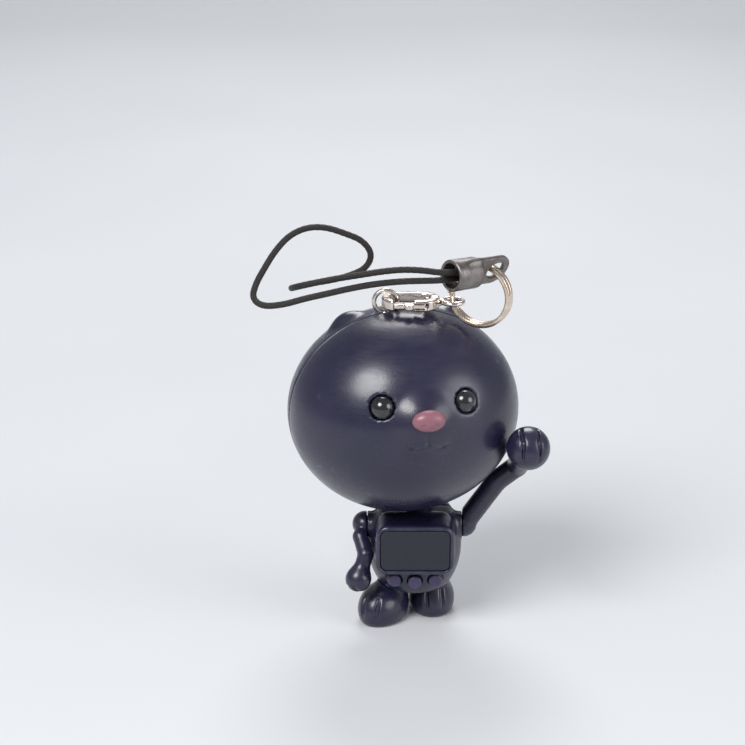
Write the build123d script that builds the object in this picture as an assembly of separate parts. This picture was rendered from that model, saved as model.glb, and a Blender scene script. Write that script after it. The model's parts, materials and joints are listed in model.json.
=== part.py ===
from build123d import *
import math
import os

os.makedirs("parts", exist_ok=True)

# Virtual pet keychain: a hollow cub figure that stands on its feet and carries a
# small display game in its body, with a strap eyelet, a lobster clasp, a swivel,
# a split ring, a cord end cap and a cord loop on its crown.
# Millimetres.  +Z is up, -Y is the front, and the origin lies on the sole plane.

# --- fits ---------------------------------------------------------------------
SEAT_FIT = 0.05          # gap round a piece that sits in a pocket
TURN_FIT = 0.08          # radial gap round a piece that turns
THREAD_FIT = 0.03        # radial gap between a screw and its hole
BUTTON_FIT = 0.12        # radial gap round a button
SWEEP_FIT = 0.35         # gap between a moving limb and the body

# --- head ---------------------------------------------------------------------
HEAD_HALF_WIDTH = 20.4
HEAD_HALF_HEIGHT = 18.2
HEAD_WALL = 1.8
HEAD_TURN = 12.5         # degrees, face turned to +X
MUZZLE_RADIUS = 6.2
MUZZLE_DEPTH = 5.0
MUZZLE_REACH = 1.2       # how far the muzzle stands out of the skull
MUZZLE_Z = 2.4
EAR_RADIUS = 4.0
EAR_DEPTH_RATIO = 0.62
EAR_X = 8.4
EAR_Y = 3.4
EAR_DROP = 4.9           # ear centre below the top of the skull
EYE_RADIUS = 2.1
EYE_X = 7.4
EYE_Z = 6.4
EYE_SINK = 0.9
NOSE_WIDTH = 5.8
NOSE_HEIGHT = 3.8
NOSE_DEPTH = 3.2
NOSE_REACH = 0.9         # nose centre in front of the skull
NOSE_Z = 4.6
PEG_RADIUS = 0.7         # peg of an eye or the nose
PEG_LENGTH = 3.2
DOWEL_RADIUS = 0.45      # locating pins on the rims of the head halves
DOWEL_LENGTH = 1.6

# --- neck ---------------------------------------------------------------------
NECK_X = 0.8
NECK_Z = 21.2            # height of the neck pivot
NECK_LEAN = 9.0          # degrees, the neck's axis leans to -X
NECK_GAP = 0.4           # skull above the neck pivot
NECK_RADIUS = 2.2
NECK_FLANGE_RADIUS = 3.0
NECK_FLANGE = 0.7
NECK_SEAT = 0.25         # depth of the flat seat in the floor of the head
NECK_SEAT_FIT = 0.3      # radial gap round the flange on that seat

# --- body ---------------------------------------------------------------------
BODY_RADIUS = 8.4
BODY_HALF_HEIGHT = 10.6
BODY_CENTRE_Z = 13.8
BODY_BOTTOM = 6.2
BODY_TOP = 21.0
BODY_WALL = 1.4

# --- display ------------------------------------------------------------------
SCREEN_Z = 16.2
BEZEL_WIDTH = 13.8
BEZEL_HEIGHT = 9.4
BEZEL_CORNER = 2.2
BEZEL_FRONT = -9.6
BEZEL_BACK = -3.0
BEZEL_ROUND = 0.8
LENS_WIDTH = 12.2
LENS_HEIGHT = 7.6
LENS_THICK = 1.0
LENS_CORNER = 1.2
LENS_RECESS = 0.2
VIEW_WIDTH = 10.4
VIEW_HEIGHT = 5.8
PANEL_WIDTH = 12.0
PANEL_HEIGHT = 7.8
PANEL_THICK = 1.4
BEZEL_LIP = 0.5          # plastic left between lens and panel
BOARD_FRONT = -3.9
BOARD_THICK = 0.8
BOARD_TOP = 18.5
CONNECTOR_WIDTH = 10.8
CONNECTOR_HEIGHT = 1.2
CHIP_RADIUS = 2.1
CHIP_HEIGHT = 0.9
CHIP_Z = 10.2

# --- buttons ------------------------------------------------------------------
BUTTON_RADIUS = 1.2
BUTTON_PITCH = 3.6
BUTTON_Z = 9.6
BUTTON_PROUD = 0.9
BUTTON_TRAVEL = 0.5
BUTTON_FLANGE_RADIUS = 1.65
BUTTON_FLANGE = 0.4
BUTTON_STEM_RADIUS = 0.7
BUTTON_SEAT = 1.3        # depth of the flange seat below the outer surface
DOME_RADIUS = 1.1
DOME_HEIGHT = 0.35

# --- cells and door -----------------------------------------------------------
CELL_RADIUS = 3.95
CELL_HEIGHT = 3.6
CELL_EDGE = 0.35
CELL_Z = 13.8
CELL_FRONT = -1.0
CUP_GAP = 0.15
CUP_WALL = 0.6
DOOR_DEPTH = 2.5         # body radius above the door's flat inner face
DOOR_INNER = BODY_RADIUS - DOOR_DEPTH
DOOR_RADIUS = 5.1
DOOR_TAB_RADIUS = 1.9
DOOR_SCREW_Z = 8.7
DOOR_SCREW_SEAT = 0.5    # door left under the screw head
GRIP_RISE = 3.2          # middle finger groove of the door above the cells' axis
GRIP_PITCH = 0.8
GRIP_WIDTH = 4.4
GRIP_DEPTH = 0.6
GRIP_SLOT = 0.35
SCREW_RADIUS = 0.7
SCREW_HEAD_RADIUS = 1.3
SCREW_HEAD = 0.9
SCREW_BOSS_RADIUS = 1.7
DOOR_SCREW_LENGTH = 3.8
CASE_SCREW_X = 4.3
CASE_SCREW_Z = 8.8
CASE_SCREW_SINK = 3.8    # screw head below the body radius
CASE_SCREW_HEAD_Y = BODY_RADIUS - CASE_SCREW_SINK
CASE_SCREW_LENGTH = 7.4
CASE_BOSS_FRONT = -2.9
STRIP_THICK = 0.2
STRIP_WIDTH = 1.6
BUZZER_RADIUS = 2.4
BUZZER_THICK = 0.4
BUZZER_Y = -0.6

# --- arms ---------------------------------------------------------------------
SHOULDER_X = 8.8
SHOULDER_Z = 17.4
SHOULDER_RADIUS = 2.3
SHOULDER_FACE_X = BODY_RADIUS  # where the shoulder boss of the body meets the arm
LIMB_RADIUS = 1.4
PAW_RADIUS = 2.3
ARM_PEG_RADIUS = 1.4
ARM_FLANGE_RADIUS = 2.0
ARM_FLANGE = 0.8
ARM_FLANGE_X = 5.3
LOW_SHOULDER_BEND = (-9.6, -2.4, 15.9)
LOW_ELBOW = (-8.7, -5.0, 13.6)
LOW_PAW = (-10.0, -6.2, 9.4)
RAISED_ELBOW = (14.6, 1.0, 25.3)
RAISED_WRIST = (18.2, 0.4, 28.4)
RAISED_PAW = (19.4, -9.8, 35.8)
RAISED_PAW_RADIUS = 3.8
RAISED_LIMB_RADIUS = 1.9

# --- feet ---------------------------------------------------------------------
FOOT_HALF_WIDTH = 4.2
FOOT_HALF_LENGTH = 5.6
FOOT_HALF_HEIGHT = 4.6
FOOT_CENTRE_Z = 2.2
LEFT_FOOT = (-5.6, -2.0)
LEFT_FOOT_TURN = -28.0   # degrees, toes turned to -X
RIGHT_FOOT = (3.1, 2.4)
RIGHT_FOOT_TURN = 6.0    # degrees, toes turned to +X
LEG_RADIUS = 2.6
LEFT_LEG = (-3.9, -1.0)
RIGHT_LEG = (3.3, 0.8)

# --- strap --------------------------------------------------------------------
EYELET_RISE = 1.6        # hole centre above the crown
EYELET_RADIUS = 2.02
EYELET_WIRE = 0.42
EYELET_FOOT_RADIUS = 1.7
EYELET_FOOT = 0.8
EYELET_FOOT_GAP = 0.25
EYELET_SHANK = 0.65
CLASP_LENGTH = 10.0
CLASP_WIDTH = 6.2
CLASP_BAND = 1.5
CLASP_THICK = 2.0
LEVER_THICK = 0.9
LEVER_GAP = 0.1
GATE_START = 1.3
GATE_END = 4.9
CLEVIS_END = 7.4
PIVOT_X = 6.0
PIVOT_RADIUS = 0.4
THUMB_X = 4.0
THUMB_RADIUS = 0.8
SPRING_RADIUS = 0.4
SPRING_BORE = 0.22
SWIVEL_POST_RADIUS = 0.5
SWIVEL_HEAD_RADIUS = 0.8
SWIVEL_HEAD = 0.6
SWIVEL_EYE_RADIUS = 1.75
SWIVEL_EYE_WIRE = 0.42
RING_RADIUS = 5.5        # middle of the wire
RING_WIRE = 0.9
RING_TURN = 27.0         # degrees that the ring is turned about the vertical
RING_LIFT = 2.1          # ring centre above the swivel
RING_GAP_ANGLE = 14.0
CAP_ANGLE = 62.0         # where the cap hangs on the ring, from its far side
CAP_DIRECTION = (-0.76, -0.64, 0.085)
CAP_WIDTH = 6.0
CAP_PLATE = 0.8
CAP_HOLE_RADIUS = 1.7
CAP_CUP_RADIUS = 2.7
CAP_CUP_START = 4.0
CAP_LENGTH = 10.0
CAP_BORE_RADIUS = 2.1
CAP_BORE_DEPTH = 2.8
CORD_DIAMETER = 1.1
CORD_SPACING = 1.6
CORD_LEAD = 1.6          # straight run of the cord past the mouth of the cap

BIG = 100.0

LEAN = math.radians(NECK_LEAN)
FACE_TURN = math.radians(HEAD_TURN)


def skull_reach(half_width, half_height):
    """Distance from the skull's centre to its surface along the neck's axis."""
    across = math.sin(LEAN) * math.cos(FACE_TURN)
    return 1 / math.sqrt(across**2 / half_width**2 + (1 - across**2) / half_height**2)


OUTER_REACH = skull_reach(HEAD_HALF_WIDTH, HEAD_HALF_HEIGHT)
INNER_REACH = skull_reach(HEAD_HALF_WIDTH - HEAD_WALL, HEAD_HALF_HEIGHT - HEAD_WALL)
HEAD_CENTRE = OUTER_REACH + NECK_GAP
NECK = Pos(NECK_X, 0, NECK_Z) * Rot(0, -NECK_LEAN, 0)
FACE = Pos(0, 0, HEAD_CENTRE) * Rot(0, NECK_LEAN, 0) * Rot(0, 0, HEAD_TURN)
MUZZLE_Y = MUZZLE_DEPTH - MUZZLE_REACH - HEAD_HALF_HEIGHT
NOSE_Y = -HEAD_HALF_HEIGHT - NOSE_REACH
EAR_Z = HEAD_HALF_HEIGHT - EAR_DROP


# --- shared shapes ------------------------------------------------------------
def spheroid(radius, half_height):
    """Ellipsoid of revolution about Z."""
    arc = EllipticalCenterArc((0, 0), radius, half_height, start_angle=-90, arc_size=180)
    chord = Line((0, half_height), (0, -half_height))
    return revolve(Plane.XZ * make_face([arc, chord]), Axis.Z)


def dome(radius, height):
    """Cap of a sphere, flat side down on z = 0."""
    ball = (radius**2 + height**2) / (2 * height)
    return Pos(0, 0, height - ball) * Sphere(ball) & Pos(0, 0, BIG / 2) * Box(BIG, BIG, BIG)


def rod_y(radius, start, end, x=0.0, z=0.0):
    """Cylinder along Y from start to end."""
    return Pos(x, (start + end) / 2, z) * Rot(90, 0, 0) * Cylinder(radius, abs(end - start))


def rod_x(radius, start, end, y=0.0, z=0.0):
    """Cylinder along X from start to end."""
    return Pos((start + end) / 2, y, z) * Rot(0, 90, 0) * Cylinder(radius, abs(end - start))


def plate_y(width, height, corner, start, end, x=0.0, z=0.0):
    """Rounded rectangle in XZ, from y = start to y = end."""
    face = Plane.XZ * RectangleRounded(width, height, corner)
    return Pos(x, end, z) * extrude(face, amount=end - start)


def half_space(front):
    """Block that fills y < 0 or y > 0."""
    side = -BIG / 2 if front else BIG / 2
    return Pos(0, side, 0) * Box(2 * BIG, BIG, 2 * BIG)


def between(p, q, radius):
    """Cylinder from point p to point q."""
    axis = Vector(*q) - Vector(*p)
    return Plane(origin=p, z_dir=axis) * Pos(0, 0, axis.length / 2) * Cylinder(radius, axis.length)


# --- head ---------------------------------------------------------------------
def head_outer():
    skull = Rot(0, 90, 0) * spheroid(HEAD_HALF_HEIGHT, HEAD_HALF_WIDTH)
    muzzle = Pos(0, MUZZLE_Y, MUZZLE_Z) * Rot(90, 0, 0) * spheroid(MUZZLE_RADIUS, MUZZLE_DEPTH)
    return skull + muzzle


def head_inner():
    half_height = HEAD_HALF_HEIGHT - HEAD_WALL
    return Rot(0, 90, 0) * spheroid(half_height, HEAD_HALF_WIDTH - HEAD_WALL)


def ear(side):
    disc = scale(Sphere(EAR_RADIUS), by=(1, EAR_DEPTH_RATIO, 1))
    hollow = Pos(0, -EAR_RADIUS, 0) * Sphere(EAR_RADIUS * 0.72)
    return Pos(side * EAR_X, EAR_Y, EAR_Z) * (disc - hollow)


def skull_y(x, z):
    """Front surface of the skull at x, z."""
    share = 1 - (x / HEAD_HALF_WIDTH) ** 2 - (z / HEAD_HALF_HEIGHT) ** 2
    return -HEAD_HALF_HEIGHT * math.sqrt(share)


def eye_centre(side):
    x = side * EYE_X
    y = skull_y(x, EYE_Z)
    normal = Vector(x / HEAD_HALF_WIDTH**2, y / HEAD_HALF_HEIGHT**2, EYE_Z / HEAD_HALF_HEIGHT**2)
    return Vector(x, y, EYE_Z) - normal.normalized() * EYE_SINK


def eye_peg(side, gap):
    centre = eye_centre(side)
    start = centre.Y - EYE_SINK
    return rod_y(PEG_RADIUS + gap, start, start + PEG_LENGTH, centre.X, centre.Z)


def nose_peg(gap):
    return rod_y(PEG_RADIUS + gap, NOSE_Y, NOSE_Y + PEG_LENGTH, 0, NOSE_Z)


HEAD_FLANGE_Z = HEAD_CENTRE - INNER_REACH + NECK_SEAT
CROWN = HEAD_CENTRE + OUTER_REACH
CROWN_INSIDE = HEAD_CENTRE + INNER_REACH - EYELET_FOOT_GAP
EYELET_Z = CROWN + EYELET_RISE


def dowel(angle, radius, start, end):
    """Pin along Y on the middle of the rim of the head halves."""
    x = (HEAD_HALF_WIDTH - HEAD_WALL / 2) * math.cos(math.radians(angle))
    z = (HEAD_HALF_HEIGHT - HEAD_WALL / 2) * math.sin(math.radians(angle))
    return rod_y(radius, start, end, x, z)


DOWEL_ANGLES = (20, 160, 215, 325)


def eyelet_ring(gap):
    ring = Torus(EYELET_RADIUS, EYELET_WIRE + gap)
    return Pos(0, 0, EYELET_Z) * Rot(90, 0, 0) * ring


def eyelet_shank(gap):
    low = CROWN_INSIDE - EYELET_FOOT
    high = EYELET_Z - EYELET_RADIUS
    return Pos(0, 0, (low + high) / 2) * Cylinder(EYELET_SHANK + gap, high - low)


def eyelet_foot():
    return Pos(0, 0, CROWN_INSIDE - EYELET_FOOT / 2) * Cylinder(EYELET_FOOT_RADIUS, EYELET_FOOT)


def head_shell(front):
    shell = (head_outer() - head_inner()) & half_space(front)
    if front:
        shell -= nose_peg(SEAT_FIT)
        for side in (-1, 1):
            shell -= eye_peg(side, SEAT_FIT)
        for angle in DOWEL_ANGLES:
            shell -= dowel(angle, DOWEL_RADIUS + SEAT_FIT, -DOWEL_LENGTH - SEAT_FIT, 1)
    else:
        for side in (-1, 1):
            shell += (ear(side) - head_inner()) & half_space(False)
        for angle in DOWEL_ANGLES:
            shell += dowel(angle, DOWEL_RADIUS, -DOWEL_LENGTH, DOWEL_LENGTH)
    shell = FACE * shell
    shell -= Cylinder(NECK_RADIUS + TURN_FIT, 8 * NECK_RADIUS)
    seat = Cylinder(NECK_FLANGE_RADIUS + NECK_SEAT_FIT, 4 * NECK_FLANGE)
    shell -= Pos(0, 0, HEAD_FLANGE_Z + 2 * NECK_FLANGE) * seat
    shell -= eyelet_shank(SEAT_FIT)
    shell -= eyelet_ring(SEAT_FIT)
    return shell


def eye(side):
    bead = Pos(*eye_centre(side)) * Rot(90, 0, 0) * Sphere(EYE_RADIUS) - head_outer()
    return FACE * (bead + eye_peg(side, 0))


def nose():
    pad = Pos(0, NOSE_Y, NOSE_Z) * scale(Sphere(1), by=(NOSE_WIDTH / 2, NOSE_DEPTH / 2, NOSE_HEIGHT / 2))
    return FACE * (pad - head_outer() + nose_peg(0))


def strap_eyelet():
    return eyelet_ring(0) + eyelet_shank(0) + eyelet_foot()


# --- neck pin -----------------------------------------------------------------
def neck_flange(low):
    return Pos(0, 0, low + NECK_FLANGE / 2) * Cylinder(NECK_FLANGE_RADIUS, NECK_FLANGE)


FLANGE_LEAN = NECK_FLANGE_RADIUS * math.sin(LEAN)
BODY_CEILING = BODY_TOP - BODY_WALL
BODY_FLANGE_Z = BODY_CEILING - NECK_Z - FLANGE_LEAN - SEAT_FIT


def neck_pin():
    low = BODY_FLANGE_Z + NECK_FLANGE / 2
    high = HEAD_FLANGE_Z + TURN_FIT + NECK_FLANGE / 2
    core = Pos(0, 0, (low + high) / 2) * Cylinder(NECK_RADIUS, high - low)
    return core + neck_flange(BODY_FLANGE_Z) + neck_flange(HEAD_FLANGE_Z + TURN_FIT)


# --- body ---------------------------------------------------------------------
def body_egg():
    egg = Pos(0, 0, BODY_CENTRE_Z) * spheroid(BODY_RADIUS, BODY_HALF_HEIGHT)
    height = BODY_TOP - BODY_BOTTOM
    return egg & (Pos(0, 0, BODY_BOTTOM + height / 2) * Box(BIG, BIG, height))


def body_outer():
    radius = math.sqrt(SHOULDER_RADIUS**2 - (SHOULDER_X - SHOULDER_FACE_X) ** 2)
    return body_egg() + rod_x(radius, -SHOULDER_FACE_X, SHOULDER_FACE_X, 0, SHOULDER_Z)


def body_inner(gap=0.0):
    radius = BODY_RADIUS - BODY_WALL - gap
    egg = Pos(0, 0, BODY_CENTRE_Z) * spheroid(radius, BODY_HALF_HEIGHT - BODY_WALL - gap)
    height = BODY_TOP - BODY_BOTTOM - 2 * BODY_WALL
    return egg & (Pos(0, 0, BODY_BOTTOM + BODY_WALL + height / 2) * Box(BIG, BIG, height))


def body_radius(z, shrink=0.0):
    share = 1 - ((z - BODY_CENTRE_Z) / (BODY_HALF_HEIGHT - shrink)) ** 2
    return (BODY_RADIUS - shrink) * math.sqrt(share)


LENS_BACK = BEZEL_FRONT + LENS_RECESS + LENS_THICK
PANEL_FRONT = LENS_BACK + BEZEL_LIP
PANEL_BACK = PANEL_FRONT + PANEL_THICK
BOARD_BACK = BOARD_FRONT + BOARD_THICK
CUP_INNER = CELL_RADIUS + CUP_GAP
CUP_OUTER = CUP_INNER + CUP_WALL


def button_surface(x):
    return -math.sqrt(body_radius(BUTTON_Z) ** 2 - x * x)


def button_places():
    return [-BUTTON_PITCH, 0.0, BUTTON_PITCH]


def arm_peg_hole():
    hole = rod_x(ARM_PEG_RADIUS + TURN_FIT, -BIG, BIG, 0, SHOULDER_Z)
    pocket_end = ARM_FLANGE_X + ARM_FLANGE + SEAT_FIT
    pocket = rod_x(ARM_FLANGE_RADIUS + TURN_FIT, -pocket_end, pocket_end, 0, SHOULDER_Z)
    return hole + pocket


def neck_hole():
    bore = Pos(0, 0, 1) * Cylinder(NECK_RADIUS + SEAT_FIT, 2.4 * NECK_RADIUS)
    seat = Cylinder(NECK_FLANGE_RADIUS + SEAT_FIT, NECK_FLANGE + 2 * SEAT_FIT)
    return NECK * (bore + Pos(0, 0, BODY_FLANGE_Z + NECK_FLANGE / 2) * seat)


def boss_limit():
    return body_inner(-BODY_WALL / 2)


def torso_front():
    bezel = plate_y(BEZEL_WIDTH, BEZEL_HEIGHT, BEZEL_CORNER, BEZEL_FRONT, BEZEL_BACK, 0, SCREEN_Z)
    bezel = fillet(bezel.faces().sort_by(Axis.Y)[0].edges(), BEZEL_ROUND)
    shell = (body_outer() + bezel) - body_inner()
    shell &= half_space(True)
    pocket_end = BEZEL_FRONT + LENS_RECESS + LENS_THICK
    gap = 2 * SEAT_FIT
    shell -= plate_y(LENS_WIDTH + gap, LENS_HEIGHT + gap, LENS_CORNER, BEZEL_FRONT - 1, pocket_end, 0, SCREEN_Z)
    shell -= plate_y(VIEW_WIDTH, VIEW_HEIGHT, LENS_CORNER, pocket_end - 1, 0, 0, SCREEN_Z)
    shell -= plate_y(PANEL_WIDTH + gap, PANEL_HEIGHT + gap, 0.3, PANEL_FRONT, 0, 0, SCREEN_Z)
    for x in button_places():
        surface = button_surface(x)
        shell -= rod_y(BUTTON_RADIUS + BUTTON_FIT, surface - 3, 0, x, BUTTON_Z)
        shell -= rod_y(BUTTON_FLANGE_RADIUS + BUTTON_FIT, surface + BUTTON_SEAT, 0, x, BUTTON_Z)
    for side in (-1, 1):
        boss = rod_y(SCREW_BOSS_RADIUS, CASE_BOSS_FRONT, 0, side * CASE_SCREW_X, CASE_SCREW_Z)
        shell += boss & boss_limit()
    for side in (-1, 1):
        shell -= rod_y(SCREW_RADIUS + THREAD_FIT, CASE_BOSS_FRONT - 1, 1, side * CASE_SCREW_X, CASE_SCREW_Z)
    shell -= arm_peg_hole()
    shell -= neck_hole()
    return shell


def door_outline(grow, start, end):
    """Keyhole-shaped block along Y: a disc over the cells and a tab for the screw."""
    block = rod_y(DOOR_RADIUS + grow, start, end, 0, CELL_Z)
    block += rod_y(DOOR_TAB_RADIUS + grow, start, end, 0, DOOR_SCREW_Z)
    height = CELL_Z - DOOR_SCREW_Z
    middle = (CELL_Z + DOOR_SCREW_Z) / 2
    tab = Box(2 * (DOOR_TAB_RADIUS + grow), end - start, height)
    return block + Pos(0, (start + end) / 2, middle) * tab


def torso_rear():
    shell = body_outer() - body_inner()
    shell += rod_y(CUP_OUTER, CELL_FRONT, DOOR_INNER + 1, 0, CELL_Z) & boss_limit()
    door_boss = rod_y(SCREW_BOSS_RADIUS, DOOR_INNER - DOOR_SCREW_LENGTH, DOOR_INNER + 1, 0, DOOR_SCREW_Z)
    shell += door_boss & boss_limit()
    for side in (-1, 1):
        boss = rod_y(SCREW_BOSS_RADIUS, 0, CASE_SCREW_HEAD_Y + 1, side * CASE_SCREW_X, CASE_SCREW_Z)
        shell += boss & boss_limit()
    cup = rod_y(CUP_OUTER, CELL_FRONT, 0, 0, CELL_Z)
    shell = (shell & half_space(False)) + cup
    shell -= rod_y(CUP_INNER, CELL_FRONT - 1, BIG, 0, CELL_Z)
    shell -= door_outline(SEAT_FIT, DOOR_INNER, DOOR_INNER + BODY_RADIUS)
    shell -= rod_y(SCREW_RADIUS + THREAD_FIT, 0, BIG, 0, DOOR_SCREW_Z)
    groove = STRIP_WIDTH + 4 * SEAT_FIT
    shell -= Pos(CELL_RADIUS + STRIP_THICK, CELL_HEIGHT / 2, CELL_Z) * Box(2 * STRIP_THICK + 0.1, 8.0, groove)
    for side in (-1, 1):
        x = side * CASE_SCREW_X
        shell -= rod_y(SCREW_RADIUS + THREAD_FIT, -1, BIG, x, CASE_SCREW_Z)
        shell -= rod_y(SCREW_HEAD_RADIUS + SEAT_FIT, CASE_SCREW_HEAD_Y, BIG, x, CASE_SCREW_Z)
    shell -= arm_peg_hole()
    shell -= neck_hole()
    return shell


def battery_door():
    door = door_outline(0, DOOR_INNER, DOOR_INNER + BODY_RADIUS) & body_outer()
    door -= rod_y(CUP_INNER, DOOR_INNER - 1, CELL_FRONT + 2 * CELL_HEIGHT + SEAT_FIT, 0, CELL_Z)
    door -= rod_y(SCREW_RADIUS + THREAD_FIT, 0, BIG, 0, DOOR_SCREW_Z)
    door -= rod_y(SCREW_HEAD_RADIUS + SEAT_FIT, DOOR_SCREW_HEAD_Y, BIG, 0, DOOR_SCREW_Z)
    for step in (-1, 0, 1):
        z = CELL_Z + GRIP_RISE + GRIP_PITCH * step
        width = GRIP_WIDTH - abs(step)
        door -= Pos(0, BODY_RADIUS, z) * Box(width, 2 * GRIP_DEPTH, GRIP_SLOT)
    return door


DOOR_SCREW_HEAD_Y = DOOR_INNER + DOOR_SCREW_SEAT


def screw(head_y, length, x, z):
    """Pan head with a cross slot, shank along -Y."""
    head = rod_y(SCREW_HEAD_RADIUS, head_y, head_y + SCREW_HEAD, x, z)
    head = fillet(head.edges().filter_by(GeomType.CIRCLE).sort_by(Axis.Y)[-1], 0.3)
    for turn in (0, 90):
        head -= Pos(x, head_y + SCREW_HEAD, z) * Rot(0, turn, 0) * Box(1.6, 0.7, 0.3)
    return head + rod_y(SCREW_RADIUS, head_y - length, head_y, x, z)


def case_screws():
    places = [side * CASE_SCREW_X for side in (-1, 1)]
    return Compound([screw(CASE_SCREW_HEAD_Y, CASE_SCREW_LENGTH, x, CASE_SCREW_Z) for x in places])


def display_lens():
    front = BEZEL_FRONT + LENS_RECESS
    lens = plate_y(LENS_WIDTH, LENS_HEIGHT, LENS_CORNER, front, LENS_BACK, 0, SCREEN_Z)
    return chamfer(lens.faces().sort_by(Axis.Y)[0].edges(), 0.15)


def display_panel():
    return plate_y(PANEL_WIDTH, PANEL_HEIGHT, 0.25, PANEL_FRONT, PANEL_BACK, 0, SCREEN_Z)


def display_connector():
    z = SCREEN_Z - PANEL_HEIGHT / 2 + CONNECTOR_HEIGHT / 2 + 0.2
    depth = BOARD_FRONT - PANEL_BACK
    return Pos(0, PANEL_BACK + depth / 2, z) * Box(CONNECTOR_WIDTH, depth, CONNECTOR_HEIGHT)


def circuit_board():
    slab = Pos(0, BOARD_FRONT + BOARD_THICK / 2, BOARD_TOP - BIG / 2) * Box(BIG, BOARD_THICK, BIG)
    return body_inner(0.15) & slab


def controller_chip():
    return Pos(0, BOARD_BACK, CHIP_Z) * Rot(-90, 0, 0) * dome(CHIP_RADIUS, CHIP_HEIGHT)


def contact_spring():
    """Bent leaf from the board to the face of the front cell."""
    reach = CELL_FRONT - BOARD_BACK
    points = [(-2.4, 0.1), (0, 0.1), (1.0, reach - 0.1), (3.0, reach - 0.1)]
    leaf = Polyline(*points)
    strip = offset(leaf, amount=0.1, side=Side.BOTH, closed=True)
    face = make_face(strip)
    return Pos(0, BOARD_BACK, CELL_Z - 1.2) * extrude(face, amount=2.4)


def contact_strip():
    end = CELL_HEIGHT + 1.4
    x = CELL_RADIUS + 0.02 + STRIP_THICK / 2
    return Pos(x, (BOARD_BACK + end) / 2, CELL_Z) * Box(STRIP_THICK, end - BOARD_BACK, STRIP_WIDTH)


def button_cell(index):
    start = CELL_FRONT + index * CELL_HEIGHT
    can = rod_y(CELL_RADIUS, start, start + CELL_HEIGHT, 0, CELL_Z)
    return fillet(can.edges().filter_by(GeomType.CIRCLE), CELL_EDGE)


def buzzer_disc():
    z = BODY_BOTTOM + BODY_WALL
    plate = Pos(0, BUZZER_Y, z + BUZZER_THICK / 4) * Cylinder(BUZZER_RADIUS, BUZZER_THICK / 2)
    return plate + Pos(0, BUZZER_Y, z + 3 * BUZZER_THICK / 4) * Cylinder(BUZZER_RADIUS * 0.7, BUZZER_THICK / 2)


def switch_domes():
    snap = Rot(90, 0, 0) * dome(DOME_RADIUS, DOME_HEIGHT)
    places = [Pos(x, BOARD_FRONT, BUTTON_Z) for x in button_places()]
    return Compound([(place * snap).solid() for place in places])


def button(x):
    surface = button_surface(x)
    seat = surface + BUTTON_SEAT
    cap = rod_y(BUTTON_RADIUS, surface - BUTTON_PROUD, seat, x, BUTTON_Z)
    cap = fillet(cap.edges().filter_by(GeomType.CIRCLE).sort_by(Axis.Y)[0], 0.45)
    flange = rod_y(BUTTON_FLANGE_RADIUS, seat, seat + BUTTON_FLANGE, x, BUTTON_Z)
    tip = BOARD_FRONT - DOME_HEIGHT - BUTTON_TRAVEL - 0.05
    stem = rod_y(BUTTON_STEM_RADIUS, seat, tip, x, BUTTON_Z)
    return cap + flange + stem


# --- arms ---------------------------------------------------------------------
def arm_peg(side):
    inner = ARM_FLANGE_X
    flange = rod_x(ARM_FLANGE_RADIUS, side * inner, side * (inner + ARM_FLANGE), 0, SHOULDER_Z)
    return flange + rod_x(ARM_PEG_RADIUS, side * inner, side * SHOULDER_X, 0, SHOULDER_Z)


def arm(side, bends, paw, limb_radius, paw_radius):
    """Shoulder ball, cut flat where it faces the body, then a bent limb and a paw."""
    here = (side * SHOULDER_X, 0, SHOULDER_Z)
    limb = Pos(*here) * Sphere(SHOULDER_RADIUS)
    for bend in bends:
        limb += between(here, bend, limb_radius)
        limb += Pos(*bend) * Sphere(limb_radius)
        here = bend
    limb += between(here, paw, limb_radius)
    limb += Pos(*paw) * Sphere(paw_radius)
    face = SHOULDER_FACE_X + 2 * SEAT_FIT
    limb -= rod_x(SHOULDER_RADIUS + 1, 0, side * face, 0, SHOULDER_Z)
    return limb + arm_peg(side)


def arm_left():
    return arm(-1, [LOW_SHOULDER_BEND, LOW_ELBOW], LOW_PAW, LIMB_RADIUS, PAW_RADIUS)


def arm_right():
    bends = [RAISED_ELBOW, RAISED_WRIST]
    return arm(1, bends, RAISED_PAW, RAISED_LIMB_RADIUS, RAISED_PAW_RADIUS)


# --- feet ---------------------------------------------------------------------
def foot(place, turn, leg):
    sole = scale(Sphere(1), by=(FOOT_HALF_WIDTH, FOOT_HALF_LENGTH, FOOT_HALF_HEIGHT))
    sole = Pos(place[0], place[1], FOOT_CENTRE_Z) * Rot(0, 0, turn) * sole
    sole &= Pos(0, 0, BIG / 2) * Box(BIG, BIG, BIG)
    middle = Pos(leg[0], leg[1], (FOOT_CENTRE_Z + BODY_BOTTOM) / 2)
    shape = sole + middle * Cylinder(LEG_RADIUS, BODY_BOTTOM - FOOT_CENTRE_Z)
    return shape - body_outer()


# --- strap --------------------------------------------------------------------
EYELET_PLACE = NECK * Pos(0, 0, EYELET_Z)
EYELET_POINT = EYELET_PLACE.position
CLASP = Pos(*EYELET_POINT)
CLASP_START = -CLASP_BAND / 2
CLASP_END = CLASP_START + CLASP_LENGTH
CLASP_MIDDLE = (CLASP_START + CLASP_END) / 2
FRONT_BAND_Y = -(CLASP_WIDTH - CLASP_BAND) / 2


def stadium(length, width, thick):
    return extrude(SlotOverall(length, width), amount=thick / 2, both=True)


def clasp_band(thick):
    band = stadium(CLASP_LENGTH, CLASP_WIDTH, thick)
    band -= stadium(CLASP_LENGTH - 2 * CLASP_BAND, CLASP_WIDTH - 2 * CLASP_BAND, 2 * thick)
    return Pos(CLASP_MIDDLE, 0, 0) * band


def block(x0, x1, y0, y1, thick):
    return Pos((x0 + x1) / 2, (y0 + y1) / 2, 0) * Box(x1 - x0, y1 - y0, thick)


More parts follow.
